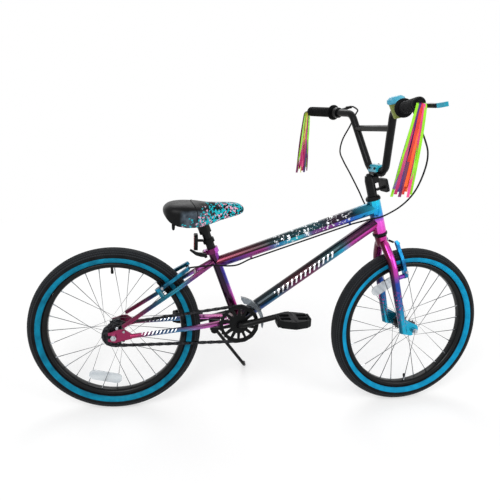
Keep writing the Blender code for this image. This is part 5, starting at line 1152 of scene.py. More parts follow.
@dataclass(frozen=True)
class Fork:
    """The unicrown fork with its steerer, dropouts and brake bosses, in the steering frame."""

    rig: Rig
    finish: Finish
    leg_radius: float = 0.0135
    tip_radius: float = 0.0115
    leg_half: float = 0.0500
    tip_half: float = 0.0565
    shoulder: float = 0.2350
    shoulder_x: float = -0.002
    crown: float = 0.2930
    crown_half: float = 0.0160
    tip_x: float = -0.0140
    tip_z: float = 0.0060
    shoulder_bend: float = 0.100
    crown_bend: float = 0.026
    steerer_radius: float = 0.0127
    steerer_bore: float = 0.0115
    race: float = 0.3129
    steerer_top: float = 0.4405
    slot: float = 0.0051
    slot_depth: float = 0.014
    dropout: tuple[float, float] = (0.0505, 0.0555)
    boss_radius: float = 0.0042
    boss_reach: Triple = (0.0075, 0.0254, 0.0360)

    def build(self) -> None:
        """Build the fork as one piece."""
        place = self.rig.steering
        half = [Vector((self.tip_x, -self.tip_half, self.tip_z)),
                Vector((self.shoulder_x, -self.leg_half, self.shoulder)),
                Vector((0.0, -self.crown_half, self.crown))]
        corners = half + [Side.RIGHT.mirrored(corner) for corner in half[::-1]]
        bends = [self.shoulder_bend, self.crown_bend]
        path = [place @ point for point in fillet(corners, bends + bends[::-1], 8)]
        radii = [self.leg_radius] * len(path)
        radii[0] = radii[-1] = self.tip_radius
        mesh = sweep(path, radii, 24)
        foot = self.crown - 0.006
        profile = [(self.steerer_bore, foot), (self.steerer_radius + 0.004, foot),
                   (self.steerer_radius + 0.006, self.race), (self.steerer_radius, self.race),
                   (self.steerer_radius, self.steerer_top), (self.steerer_bore, self.steerer_top)]
        upright = Matrix((AHEAD, -UP, LATERAL)).to_4x4()
        lathe(profile, place @ upright, 32, mesh)
        for side in Side:
            self.end(side, mesh)
        add_piece("fork_bent", mesh, self.finish, Body.STEERING, "candy_magenta", "fork")

    def end(self, side: Side, mesh: Mesh) -> None:
        """Add one side's dropout and brake boss to a mesh.

        Args:
            side: The side of the bike.
            mesh: The mesh.
        """
        rig, deep, x, z = self.rig.steering, -self.slot_depth, self.tip_x, self.tip_z
        outline = [
            *ring_points((FORK_RAKE, 0.0), self.slot, 0.0, 180.0, 12),
            (FORK_RAKE - self.slot, deep), (FORK_RAKE - 0.013, deep),
            (x - 0.006, z - 0.004), (x - 0.004, z + 0.034), (x + 0.014, z + 0.040),
            *ring_points((FORK_RAKE, 0.004), 0.0165, 70.0, -30.0, 10),
            (FORK_RAKE + self.slot + 0.006, deep), (FORK_RAKE + self.slot, deep)]

        def place(u: float, v: float, depth: float) -> Vector:
            """Return a point on the dropout."""
            return rig @ Vector((u, side.value * depth, v))

        plate(outline, place, *self.dropout, mesh)
        root, seat, tip = (rig @ Vector((reach, side.value * FRONT_PIVOT_HALF, FRONT_PIVOT_HEIGHT))
                           for reach in self.boss_reach)
        rod(root, seat, 1.7 * self.boss_radius, 16, mesh)
        rod(root, tip, self.boss_radius, 16, mesh)


@dataclass(frozen=True)
class Brakes:
    """What is fixed to the brake arms: rubber shoes, bolts, the wire between the arms and its boot."""

    rig: Rig
    pad_gap: float = 0.0030
    pad_rise: float = 0.0145
    pad_half: tuple[float, float] = (0.0264, 0.0049)
    pad_corner: float = 0.004
    pad_depth: float = 0.0128
    pad_shift: float = 0.009
    pad_bolt_out: float = 0.0126
    arm_half: float = 0.005
    clamp_bolt: tuple[float, float] = (0.0145, 0.1010)
    wire_height: float = 0.1015
    wire_inset: float = 0.0165
    wire_radius: float = 0.0009
    boot_span: tuple[float, float] = (0.30, 0.40)
    boot_steps: int = 16
    boot_radii: tuple[float, float] = (0.0024, 0.0034)

    def build(self) -> None:
        """Build the fittings of both brakes."""
        rig = self.rig
        front_axle, rear_axle = rig.steering @ (FORK_RAKE * AHEAD), rig.bike @ (TYRE_RADIUS * UP)
        self.pair("front", rig.front_brake, FRONT_PIVOT_HALF, front_axle, Body.STEERING)
        self.pair("rear", rig.rear_brake, REAR_PIVOT_HALF, rear_axle, Body.FRAME)

    def pair(self, word: str, middle: Matrix, half: float, axle: Vector, carried: Body) -> None:
        """Build one brake's fittings.

        Args:
            word: The wheel that the brake is on.
            middle: The frame between its two pivots: x along the bosses, z along the arms.
            half: Half the distance between the pivots.
            axle: The wheel's centre, in the row frame.
            carried: The body that carries both arms.
        """
        bodies = [Body(f"{word}_arm_{side.word}") for side in Side]
        rim = middle.inverted() @ axle
        turn = middle.to_3x3()
        clamp_in, clamp_rise = self.clamp_bolt
        for side, body in zip(Side, bodies):
            carrier = middle @ Matrix.Translation((0.0, side.value * half, 0.0))
            self.shoe(f"{word}_brake_shoe_{side.word}", carrier, side, half, rim, body)
            mesh = bmesh.new()
            face, out = self.arm_half + GAP, side.value * LATERAL
            for spot, axis, radius, height in (
                    (face * AHEAD, AHEAD, 0.0056, 0.0045),
                    (self.pad_bolt_out * out + self.pad_rise * UP, out, 0.0050, 0.0050),
                    (face * AHEAD - clamp_in * out + clamp_rise * UP, AHEAD, 0.0036, 0.0040)):
                bolt(carrier @ spot, turn @ axis, radius, height, mesh)
            add_piece(f"{word}_brake_bolts_{side.word}", mesh, PLATED_STEEL, body, "silver_steel")
        centre, reach = middle @ (self.wire_height * UP), half - self.wire_inset
        ends = [middle @ Vector((0.0, side.value * reach, self.wire_height)) for side in Side]
        for side, body, end in zip(Side, bodies, ends):
            mesh = rod(end, centre, self.wire_radius, 8)
            wire = add_object(f"{word}_brake_wire_{side.word}", mesh, PLATED_STEEL)
            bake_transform(wire)
        first, length = self.boot_span
        shares = [first + length * step / self.boot_steps for step in range(self.boot_steps + 1)]
        folds = [ends[0] + (ends[1] - ends[0]) * share for share in shares]
        boot = sweep(folds, [self.boot_radii[step % 2] for step in range(len(folds))], 12)
        add_piece(f"{word}_brake_boot", boot, GRIP_RUBBER, carried, "black_rubber")

    def shoe(self, name: str, carrier: Matrix, side: Side, half: float, rim: Vector, body: Body) -> None:
        """Build the rubber shoe that covers an arm's pad and lies along the rim.

        Args:
            name: The piece's name.
            carrier: The frame of the arm's pivot.
            side: The side of the bike.
            half: Half the distance between the pivots.
            rim: The wheel's centre in the frame between the pivots.
            body: The arm's body.
        """
        shift = max(min(rim.x, self.pad_shift), -self.pad_shift)
        turn = math.atan2(rim.x - shift, self.pad_rise - rim.z)
        face = half - RIM_HALF - self.pad_gap + GAP

        def place(u: float, v: float, inward: float) -> Vector:
            """Return a point on the shoe."""
            x = shift + u * math.cos(turn) - v * math.sin(turn)
            z = self.pad_rise + u * math.sin(turn) + v * math.cos(turn)
            return carrier @ Vector((x, -side.value * inward, z))

        mesh = plate(rounded(*self.pad_half, self.pad_corner), place, face - self.pad_depth, face)
        add_piece(name, mesh, GRIP_RUBBER, body, "black_rubber")


@dataclass(frozen=True)
class Hardware:
    """Small fittings: dropout bolts, lever tips, the stand's boot and the pedals' barrels and pins."""

    rig: Rig
    cockpit: Cockpit
    dropout_face: float = 0.0605
    tip_half: float = 0.0056
    pedal_inner: float = 0.0790
    pedal_half: float = 0.049
    pedal_thick: float = 0.022
    pin_start: float = 0.025
    pin_pitch: float = 0.0085
    pin_count: int = 5
    pin_inset: float = 0.0045
    pin_height: float = 0.0032
    pin_radius: float = 0.0022
    foot_size: float = 0.013

    # Places of the dropout bolts, the outline of a lever's end, and (distance, radius) levels of turned parts
    DROPOUT_BOLTS = ((0.0095, 0.2814), (0.0289, 0.2712))
    LEVER_TIP = ((-0.0050, 0.104), (-0.0018, 0.1165), (0.0088, 0.1290), (0.0108, 0.1284), (0.0114, 0.1252),
                 (0.0043, 0.1096), (0.0036, 0.104))
    BARREL = ((0.0, 0.0100), (0.002, 0.0118), (0.020, 0.0122), (0.062, 0.0122), (0.078, 0.0118),
              (0.081, 0.0104), (0.0835, 0.0070))
    BOOT = ((-0.024, 0.0058), (-0.022, 0.0066), (-0.004, 0.0068), (0.0005, 0.0060), (0.0015, 0.0040))

    def build(self, joints: Sequence[dict[str, Any]], nodes: dict[str, Piece]) -> None:
        """Build the fittings.

        Args:
            joints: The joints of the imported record.
            nodes: The CAD nodes by name.
        """
        bike = self.rig.bike
        mesh = bmesh.new()
        for x, z in self.DROPOUT_BOLTS:
            bolt(bike @ Vector((x, -self.dropout_face, z)), bike.to_3x3() @ -LATERAL, 0.0046, 0.0048, mesh)
        add_piece("dropout_bolts", mesh, PLATED_STEEL, Body.FRAME, "silver_steel")
        spots = {joint["name"]: Vector(joint["pos_m"]) for joint in joints if "pos_m" in joint}
        for side in Side:
            self.lever_tip(side)
            self.pedal(side, spots[f"{side.word}_pedal_spin"])
        self.stand_boot(nodes["kickstand_leg"])

    def lever_tip(self, side: Side) -> None:
        """Build the coloured sleeve on a brake lever's end.

        Args:
            side: The side of the bike.
        """
        pivot, rig = self.cockpit.lever_pivot(side), self.rig.steering

        def place(u: float, v: float, depth: float) -> Vector:
            """Return a point on the sleeve."""
            return rig @ (pivot + Vector((u, side.value * v, depth)))

        mesh = plate(self.LEVER_TIP, place, -self.tip_half, self.tip_half)
        add_piece(f"lever_tip_{side.word}", mesh, CAP_CYAN, Body(f"{side.word}_lever"), "cyan_plastic")

    def pedal(self, side: Side, spot: Vector) -> None:
        """Build a pedal's barrel, end cap and the pins along its rails.

        Args:
            side: The side of the bike.
            spot: The point on the spindle's axis in the bike's middle plane.
        """
        turn = self.rig.bike.to_3x3()
        axis = turn @ (side.value * LATERAL)
        mesh = turned(spot + (self.pedal_inner + 0.001) * axis, axis, self.BARREL, 20)
        for rail, face, step in product((-1.0, 1.0), (-1.0, 1.0), range(self.pin_count)):
            reach = self.pedal_inner + self.pin_start + self.pin_pitch * step
            depth = face * (self.pedal_thick / 2.0 - 0.0005)
            wide = rail * (self.pedal_half - self.pin_inset)
            seat = spot + turn @ Vector((wide, side.value * reach, depth))
            rod(seat, seat + turn @ (face * self.pin_height * UP), self.pin_radius, 6, mesh)
        add_piece(f"pedal_fittings_{side.word}", mesh, ABS_BLACK, Body(f"{side.word}_pedal"), "black_plastic")

    def stand_boot(self, leg: Piece) -> None:
        """Build the rubber boot on the stand's foot.

        Args:
            leg: The CAD node of the stand's leg.
        """
        points = [vertex.co for vertex in leg.data.vertices]
        foot = min(points, key=lambda point: point.z)
        near = [point for point in points if (point - foot).length < self.foot_size]
        far = [point for point in points if (point - foot).length >= self.foot_size]
        back = min(far, key=lambda point: (point - foot).length)
        end, knee = mean(near), mean(point for point in far if (point - back).length < self.foot_size)
        mesh = turned(end, (end - knee).normalized(), self.BOOT, 16)
        add_piece("stand_boot", mesh, GRIP_RUBBER, Body.STAND, "black_rubber")


@dataclass(frozen=True)
class Cockpit:
    """The handlebar, grips, ribbons and stem bolts, in the steering frame."""

    rig: Rig
    stem_reach: float = 0.031
    stem_rise: float = 0.513
    clamp_radius: float = 0.0178
    crossbar_height: float = 0.636
    crossbar_radius: float = 0.0090
    bar_bend: float = 0.035
    perch_half_span: float = 0.203
    flange_half_span: float = 0.220
    grip_half_span: float = 0.345
    grip_radius: float = 0.0158
    grip_groove: float = 0.0017
    grip_flange: float = 0.0240
    grip_cap: float = 0.005
    grip_ribs: int = 13
    plug_radius: float = 0.0076
    plug_length: float = 0.008
    ribbon_length: float = 0.226
    ribbon_count: int = 13
    ribbon_width: float = 0.0074
    ribbon_pitch: float = 0.0072
    ribbon_steps: int = 24
    ribbon_bend: float = 0.011
    bend_share: float = 0.09
    right_sweep: float = 0.028
    left_sweep: float = 0.012

    LEVER_PIVOT = Vector((0.034, 0.006, -0.004))
    # Places in RIBBONS of each side's ribbons, from the rearmost to the foremost
    RIBBON_ORDER = {
        Side.RIGHT: (0, 1, 2, 2, 1, 3, 4, 4, 5, 5, 6, 0, 0),
        Side.LEFT: (3, 0, 0, 2, 2, 7, 6, 2, 7, 1, 1, 0, 3),
    }

    def corners(self) -> list[Vector]:
        """Return the bar's corners from its middle to the left end."""
        return [
            Vector((self.stem_reach, 0.0, self.stem_rise)),
            Vector((self.stem_reach, 0.048, self.stem_rise)),
            Vector((0.0460, 0.131, 0.681)),
            Vector((0.0260, self.flange_half_span, 0.692)),
            Vector((-0.0040, self.grip_half_span, 0.7065)),
        ]

    def bar_point(self, half_span: float) -> tuple[Vector, Vector]:
        """Return a point on the left end run and its direction outward.

        Args:
            half_span: The point's distance from the bike's middle plane.

        Returns:
            The point and the direction.
        """
        _, _, shoulder, flange, tip = self.corners()
        start, end = (shoulder, flange) if half_span <= flange.y else (flange, tip)
        along = (end - start).normalized()
        return start + along * ((half_span - start.y) / along.y), along

    def lever_pivot(self, side: Side) -> Vector:
        """Return the point that a brake lever turns about."""
        return side.mirrored(self.bar_point(self.perch_half_span)[0] + self.LEVER_PIVOT)

    def build(self) -> None:
        """Build and dress the bar, grips, ribbons and bolts."""
        self.bar()
        for side in Side:
            self.grip(side)
            self.ribbons(side)
        self.bolts()

    def bar(self) -> None:
        """Build the bent bar and its crossbar."""
        corners, place = self.corners(), self.rig.steering
        ends = [Side.RIGHT.mirrored(corner) for corner in corners[:0:-1]] + corners[1:]
        path = [place @ point for point in fillet(ends, [self.bar_bend] * (len(ends) - 2), 8)]
        mesh = sweep(path, [BAR_RADIUS] * len(path), 20)
        upright = corners[2] - corners[1]
        reach = corners[1] + upright * ((self.crossbar_height - corners[1].z) / upright.z)
        rod(place @ Side.RIGHT.mirrored(reach), place @ reach, self.crossbar_radius, 16, mesh)
        add_piece("handlebar_bent", mesh, POWDER_BLACK, Body.STEERING, "black_steel", "handlebar")

    def grip(self, side: Side) -> None:
        """Build a ribbed grip with its flange and rounded end.

        Args:
            side: The side of the bike.
        """
        start, along = self.bar_point(self.flange_half_span + 0.0004)
        length = (self.corners()[-1] - start).length
        bore, radius, flange = BAR_RADIUS + GAP, self.grip_radius, self.grip_flange
        profile = [(bore, 0.0), (flange - 0.001, 0.0), (flange, 0.001), (flange, 0.004),
                   (flange - 0.001, 0.005), (radius + 0.001, 0.0065)]
        pitch = (length - 0.020) / self.grip_ribs
        groove = radius - self.grip_groove
        for rib in range(self.grip_ribs):
            low = 0.009 + rib * pitch
            profile += [(radius, low), (radius, low + 0.55 * pitch), (groove, low + 0.70 * pitch),
                        (groove, low + 0.88 * pitch)]
        cap = length + self.grip_cap
        profile += [(radius, length - 0.008), (radius - 0.0006, length + 0.001), (radius - 0.003, cap),
                    (bore - 0.004, cap), (bore - 0.004, length)]
        axis = side.mirrored(along)
        across, _ = square_to(axis)
        turn = Matrix((across, axis, across.cross(axis))).transposed().to_4x4()
        mesh = lathe(profile, self.rig.steering @ Matrix.Translation(side.mirrored(start)) @ turn, 28)
        word = f"grip_{side.word}"
        add_piece(f"{word}_ribbed", mesh, GRIP_RUBBER, Body.STEERING, "black_rubber", word)

    def ribbons(self, side: Side) -> None:
        """Build the ribbons that hang from a plug in the grip's end, and the plug.

        Args:
            side: The side of the bike.
        """
        end = self.corners()[-1]
        _, along = self.bar_point(self.grip_half_span)
        root, tip = end + along * self.grip_cap, end + along * (self.grip_cap + self.plug_length)
        place = self.rig.steering
        plug = rod(place @ side.mirrored(root), place @ side.mirrored(tip), self.plug_radius, 16)
        add_piece(f"ribbon_plug_{side.word}", plug, ABS_BLACK, Body.STEERING, "black_plastic")
        mesh = bmesh.new()
        spans = []
        for index in range(self.ribbon_count):
            rows = self.strip(index, tip, along, self.right_sweep if side is Side.RIGHT else self.left_sweep)
            before = len(mesh.faces)
            loft([[place @ side.mirrored(point) for point in row] for row in rows], closed=False, into=mesh)
            spans.append(range(before, len(mesh.faces)))
        made = add_object(f"ribbons_{side.word}", mesh, RIBBONS[0])
        for finish in RIBBONS[1:]:
            made.data.materials.append(finish.material())
        for span, colour in zip(spans, self.RIBBON_ORDER[side]):
            for number in span:
                made.data.polygons[number].material_index = colour
        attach(made, Body.STEERING.value)
        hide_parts(f"streamers_{side.word}")

    def strip(self, index: int, tip: Vector, along: Vector, sweep_back: float) -> list[list[Vector]]:
        """Return the rows of one ribbon on the left, each from edge to edge.

        Args:
            index: The ribbon's number, from the rearmost.
            tip: The end of the plug.
            along: The direction of the grip, outward.
            sweep_back: How far the ribbon's foot hangs back.

        Returns:
            The rows, from the plug down.
        """
        down = Vector((-math.cos(HEAD_ANGLE), 0.0, -math.sin(HEAD_ANGLE)))
        ahead = down.cross(LATERAL)
        ahead = (ahead - along * ahead.dot(along)).normalized()
        third = ahead.cross(along).normalized()
        fan = (index - (self.ribbon_count - 1) / 2.0) / 2.0
        drop = self.ribbon_length * (0.98 - 0.12 * ((index * 3) % 5) / 4.0)
        rows = []
        for step in range(self.ribbon_steps + 1):
            share = step / self.ribbon_steps
            bend = min(share / self.bend_share, 1.0) * math.pi / 2.0
            ripple = 0.004 * share * math.sin(5.0 * share + 2.1 * index)
            out = self.ribbon_bend * math.sin(bend) - 0.0035 * (index % 2) + ripple
            fall = self.ribbon_bend * (1.0 - math.cos(bend)) + drop * max(share - self.bend_share, 0.0)
            pitch = self.ribbon_pitch * (0.34 + 0.66 * share ** 0.7)
            sway = fan * pitch - sweep_back * share ** 1.15
            centre = tip + along * out + down * fall + ahead * sway
            twist = 0.5 * math.sin(1.7 * index + 2.5 * share) * share
            normal = third * math.cos(bend) - along * math.sin(bend)
            half = self.ribbon_width * (0.40 + 0.10 * share)
            flat = (ahead * math.cos(twist) + normal * math.sin(twist)) * half
            rows.append([centre - flat, centre + flat])
        return rows

    def bolts(self) -> None:
        """Build the four clamp bolts on the stem cap, and the stem's top bolt."""
        place, turn = self.rig.steering, self.rig.steering.to_3x3()
        mesh = bmesh.new()
        for angle, y in product((35.0, 145.0), (-0.016, 0.016)):
            out = Vector((math.cos(math.radians(angle)), 0.0, math.sin(math.radians(angle))))
            seat = Vector((self.stem_reach, y, self.stem_rise)) + out * (self.clamp_radius - 0.001)
            bolt(place @ seat, turn @ out, 0.0042, 0.0050, mesh)
        bolt(place @ ((self.stem_rise - 0.0085) * UP), turn @ UP, 0.0068, 0.0060, mesh)
        add_piece("stem_bolts", mesh, POWDER_BLACK, Body.STEERING, "black_steel")


@dataclass(frozen=True)
class Cables:
    """The brake cables, from the levers to the brakes."""

    rig: Rig
    cockpit: Cockpit
    cradle: tuple[float, float] = (0.0140, 0.1098)
    guide_drop: float = 0.004
    tube_radii: tuple[float, float] = (0.0170, 0.0195)

    # Points that the cables pass: in the steering frame for the front one, in the bike's for the others
    FRONT_ROUTE = (
        (0.068, 0.152, 0.674), (0.042, 0.156, 0.642), (0.012, 0.162, 0.608), (-0.007, 0.158, 0.574),
        (-0.011, 0.138, 0.545), (-0.010, 0.108, 0.505), (-0.008, 0.076, 0.455), (-0.004, 0.056, 0.408),
        (0.011, 0.046, 0.368), (0.028, 0.041, 0.330),
    )
    LOOP_ROUTE = (
        (0.813, -0.195, 0.850), (0.832, -0.185, 0.805), (0.836, -0.160, 0.750), (0.836, -0.115, 0.695),
        (0.821, -0.070, 0.650), (0.786, -0.036, 0.615),
    )
    JOINT = Vector((0.7410, -0.0200, 0.5990))
    REAR_ROUTE = (
        (0.360, -0.0140, 0.459), (0.330, -0.0240, 0.458), (0.293, -0.0275, 0.461), (0.270, -0.0300, 0.460),
        (0.244, -0.0310, 0.458),
    )
    GUIDE_SHARES = (0.845, 0.81, 0.55, 0.34, 0.22, 0.185)

    def start(self, side: Side) -> list[Vector]:
        """Return the first points of a cable that leaves its lever's barrel and turns down.

        Args:
            side: The side of the bike.

        Returns:
            Three points in the steering frame.
        """
        outer = self.cockpit.lever_pivot(side) + Vector((0.002, -side.value * 0.002, 0.0108))
        inner = outer + Vector((0.005, -side.value * 0.024, 0.0))
        along = (inner - outer).normalized()
        return [inner, inner + 0.012 * along, inner + 0.022 * along + Vector((0.006, 0.0, -0.013))]

    def under_top_tube(self, share: float) -> Vector:
        """Return a point on the cable's line under the top tube.

        Args:
            share: The point's share of the tube from its rear end.

        Returns:
            The point in the bike's frame.
        """
        rear, front = on_seat_tube(0.190), on_head_tube(0.4055)
        along = (front - rear).normalized()
        small, large = self.tube_radii
        reach = small + (large - small) * share + self.guide_drop + CABLE_RADIUS + 2.0 * GAP
        return rear + (front - rear) * share + Vector((along.z, 0.0, -along.x)) * reach

    def build(self) -> None:
        """Build the three runs of cable."""
        bike, steering = self.rig.bike, self.rig.steering
        inset, rise = self.cradle
        stop = self.rig.front_brake @ Vector((0.0, FRONT_PIVOT_HALF - inset, rise))
        front = [steering @ point for point in (*self.start(Side.LEFT), *map(Vector, self.FRONT_ROUTE))]
        self.run("front_cable", [*front, stop], "front_brake_cable", Body.STEERING)
        guided = [self.under_top_tube(share) for share in self.GUIDE_SHARES]
        lead = (self.JOINT - guided[0]).normalized()
        loop = [steering @ point for point in self.start(Side.RIGHT)]
        loop += [bike @ point for point in (
            *map(Vector, self.LOOP_ROUTE), self.JOINT + 0.016 * lead, self.JOINT + 2.0 * GAP * lead)]
        self.run("rear_cable_loop", loop, "rear_brake_cable_loop", None)
        stop = self.rig.rear_brake @ Vector((0.0, inset - REAR_PIVOT_HALF, rise))
        rear = [bike @ point for point in (self.JOINT, *guided, *map(Vector, self.REAR_ROUTE))]
        self.run("rear_cable", [*rear, stop], "rear_brake_cable", Body.FRAME)

    def run(self, name: str, points: list[Vector], node: str, body: Body | None) -> None:
        """Build one run of cable, which stays fixed in the row frame where it rides on no one body.

        Args:
            name: The piece's name.
            points: The points that it passes, in the row frame.
            node: The CAD node that it replaces.
            body: The body that it rides on.
        """
        path = spline(points, 8)
        made = add_object(name, sweep(path, [CABLE_RADIUS] * len(path), 10), CABLE_JACKET)
        if body:
            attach(made, body.value)
        else:
            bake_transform(made)
        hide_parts(node)


@dataclass(frozen=True)
class Saddle:
    """The padded saddle, in the bike's frame."""

    rig: Rig
    tail_x: float = 0.138
    nose_x: float = 0.375
    half_width: float = 0.0685
    top: float = 0.6440
    base: float = 0.594
    voxel: float = 0.004
    pressure: float = 4.0
    swell_frames: int = 20
    swell_cap: float = 0.005
    hem_height: float = 0.004
    seam_share: float = 0.37
    seam_radius: float = 0.0011
    seam_steps: int = 24
    tab_spot: Triple = (0.031, -0.050, -0.004)

    # Share of the length, share of the width, lift of the crown and lift of the hem at each station
    STATIONS = (
        (0.00, 0.42, -0.020, 0.028), (0.05, 0.80, -0.006, 0.002), (0.14, 0.98, 0.000, -0.013),
        (0.28, 1.00, 0.001, -0.019), (0.42, 0.86, -0.003, -0.019), (0.52, 0.62, -0.005, -0.015),
        (0.60, 0.51, -0.005, -0.010), (0.70, 0.42, -0.004, 0.000), (0.82, 0.36, -0.001, 0.008),
        (0.94, 0.29, -0.003, 0.014), (1.00, 0.13, -0.016, 0.022),
    )
    # Shares of the half width and of the height, up the side
    SIDE = ((0.80, 0.0), (0.93, 0.0), (0.95, 0.35), (1.0, 0.62), (0.90, 0.86), (0.55, 0.975))
    # Drop, half width and half depth of the tab under the shell
    TAB = ((0.000, 0.0050, 0.0022), (0.014, 0.0046, 0.0020), (0.019, 0.0034, 0.0016), (0.021, 0.0016, 0.0008))

    def build(self) -> None:
        """Build the cushion and dress it in printed vinyl."""
        place = self.rig.bike
        vinyl = SaddleVinyl("printed_saddle_vinyl", place @ Vector((self.tail_x, 0.0, self.top)),
                            place @ Vector((self.nose_x, 0.0, self.top)), place.to_3x3() @ UP)
        made = add_object("saddle_cushion", self.cage(), vinyl)
        self.swell(made)
        self.seam(made)
        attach(made, Body.SEAT.value)
        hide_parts("saddle")
        self.tab()

    @staticmethod
    def settle(made: Piece) -> None:
        """Keep a piece's mesh as its modifiers leave it, and take them off.

        Args:
            made: The piece.
        """
        graph = bpy.context.evaluated_depsgraph_get()
        made.data = bpy.data.meshes.new_from_object(made.evaluated_get(graph))
        made.modifiers.clear()

    def swell(self, made: Piece) -> None:
        """Let the foam push the cover out like a cushion, held along its hem and capped in its movement.

        Args:
            made: The cushion, which keeps the swollen mesh.
        """
        made.modifiers.new("rounding", "SUBSURF").levels = 2
        remesh = made.modifiers.new("even_mesh", "REMESH")
        remesh.mode = "VOXEL"
        remesh.voxel_size = self.voxel
        self.settle(made)
        rest = [vertex.co.copy() for vertex in made.data.vertices]
        inverse, hem = self.rig.bike.inverted(), self.base + self.hem_height
        held = made.vertex_groups.new(name="hem")
        held.add([i for i, point in enumerate(rest) if (inverse @ point).z < hem], 1.0, "REPLACE")
        foam = made.modifiers.new("foam", "CLOTH")
        foam.settings.use_pressure = True
        foam.settings.uniform_pressure_force = self.pressure
        foam.settings.effector_weights.gravity = 0.0
        foam.settings.vertex_group_mass = held.name
        for frame in range(1, self.swell_frames + 1):
            bpy.context.scene.frame_set(frame)
        self.settle(made)
        for vertex, home in zip(made.data.vertices, rest):
            move = vertex.co - home
            vertex.co = home + move * min(1.0, self.swell_cap / max(move.length, 1e-9))
        bpy.context.scene.frame_set(1)
        made.data.shade_smooth()
        smooth = made.modifiers.new("rounding", "SUBSURF")
        smooth.levels = smooth.render_levels = 1

    def seam(self, made: Piece) -> None:
        """Sew a raised seam over the cushion between the rear panel and the printed one.

        Args:
            made: The cushion.
        """
        place = self.rig.bike
        tree = BVHTree.FromPolygons([vertex.co for vertex in made.data.vertices],
                                    [polygon.vertices for polygon in made.data.polygons])
        x = self.tail_x + self.seam_share * (self.nose_x - self.tail_x)
        heart = place @ Vector((x, 0.0, self.base + 0.012))
        points = []
        for step in range(self.seam_steps + 1):
            angle = math.radians(-12.0 + 204.0 * step / self.seam_steps)
            out = place.to_3x3() @ Vector((0.2 * math.cos(2.0 * angle), math.cos(angle), math.sin(angle)))
            found, normal, _, _ = tree.ray_cast(heart + 0.2 * out, -out)
            if found:
                points.append(found + 0.0002 * normal)
        mesh = sweep(points, [self.seam_radius] * len(points), 8)
        add_piece("saddle_seam", mesh, ABS_BLACK, Body.SEAT, "black_vinyl")

    def tab(self) -> None:
        """Build the moulded tab that hangs under the rear edge of the shell."""
        place, spot = self.rig.bike, Vector((self.tail_x, 0.0, self.base)) + Vector(self.tab_spot)
        turns = [math.tau * step / 12 for step in range(12)]
        rings = [[place @ (spot + Vector((wide * math.cos(t), deep * math.sin(t), -drop))) for t in turns]
                 for drop, wide, deep in self.TAB]
        add_piece("saddle_tab", loft(rings), ABS_BLACK, Body.SEAT, "black_plastic")

    def cage(self) -> Mesh:
        """Return the cushion's cage: a crowned top, drawn-in sides and a hem."""
        rings = []
        for share, breadth, crest, skirt in self.STATIONS:
            x = self.tail_x + share * (self.nose_x - self.tail_x)
            half = self.half_width * breadth
            top, hem = self.top + crest, self.base + skirt
            base = min(max(hem, self.base) if share < 0.7 else hem, top - 0.012)
            profile = [(0.0, base), (0.55 * half, base)]
            profile += [(wide * half, hem + tall * (top - hem)) for wide, tall in self.SIDE]
            ring = [Vector((x, y, z)) for y, z in profile] + [Vector((x, 0.0, top))]
            ring += [Vector((x, -y, z)) for y, z in profile[:0:-1]]
            rings.append([self.rig.bike @ point for point in ring])
        return loft(rings)


@dataclass(frozen=True)
class Lens:
    """A reflector's lens, on the face of its holder."""

    name: str
    frame: Matrix
    body: Body
    finish: Finish
    slot: str
    face: float
    ahead: float
    middle: float
    half: tuple[float, float]
    depth: float = 0.0018
    corner: float = 0.005

    def build(self) -> None:
        """Build the lens."""

        def place(u: float, v: float, depth: float) -> Vector:
            """Return a point on the lens."""
            return self.frame @ Vector((self.face + self.ahead * depth, u, self.middle + v))

        mesh = plate(rounded(*self.half, self.corner), place, GAP, GAP + self.depth)
        add_piece(self.name, mesh, self.finish, self.body, self.slot)


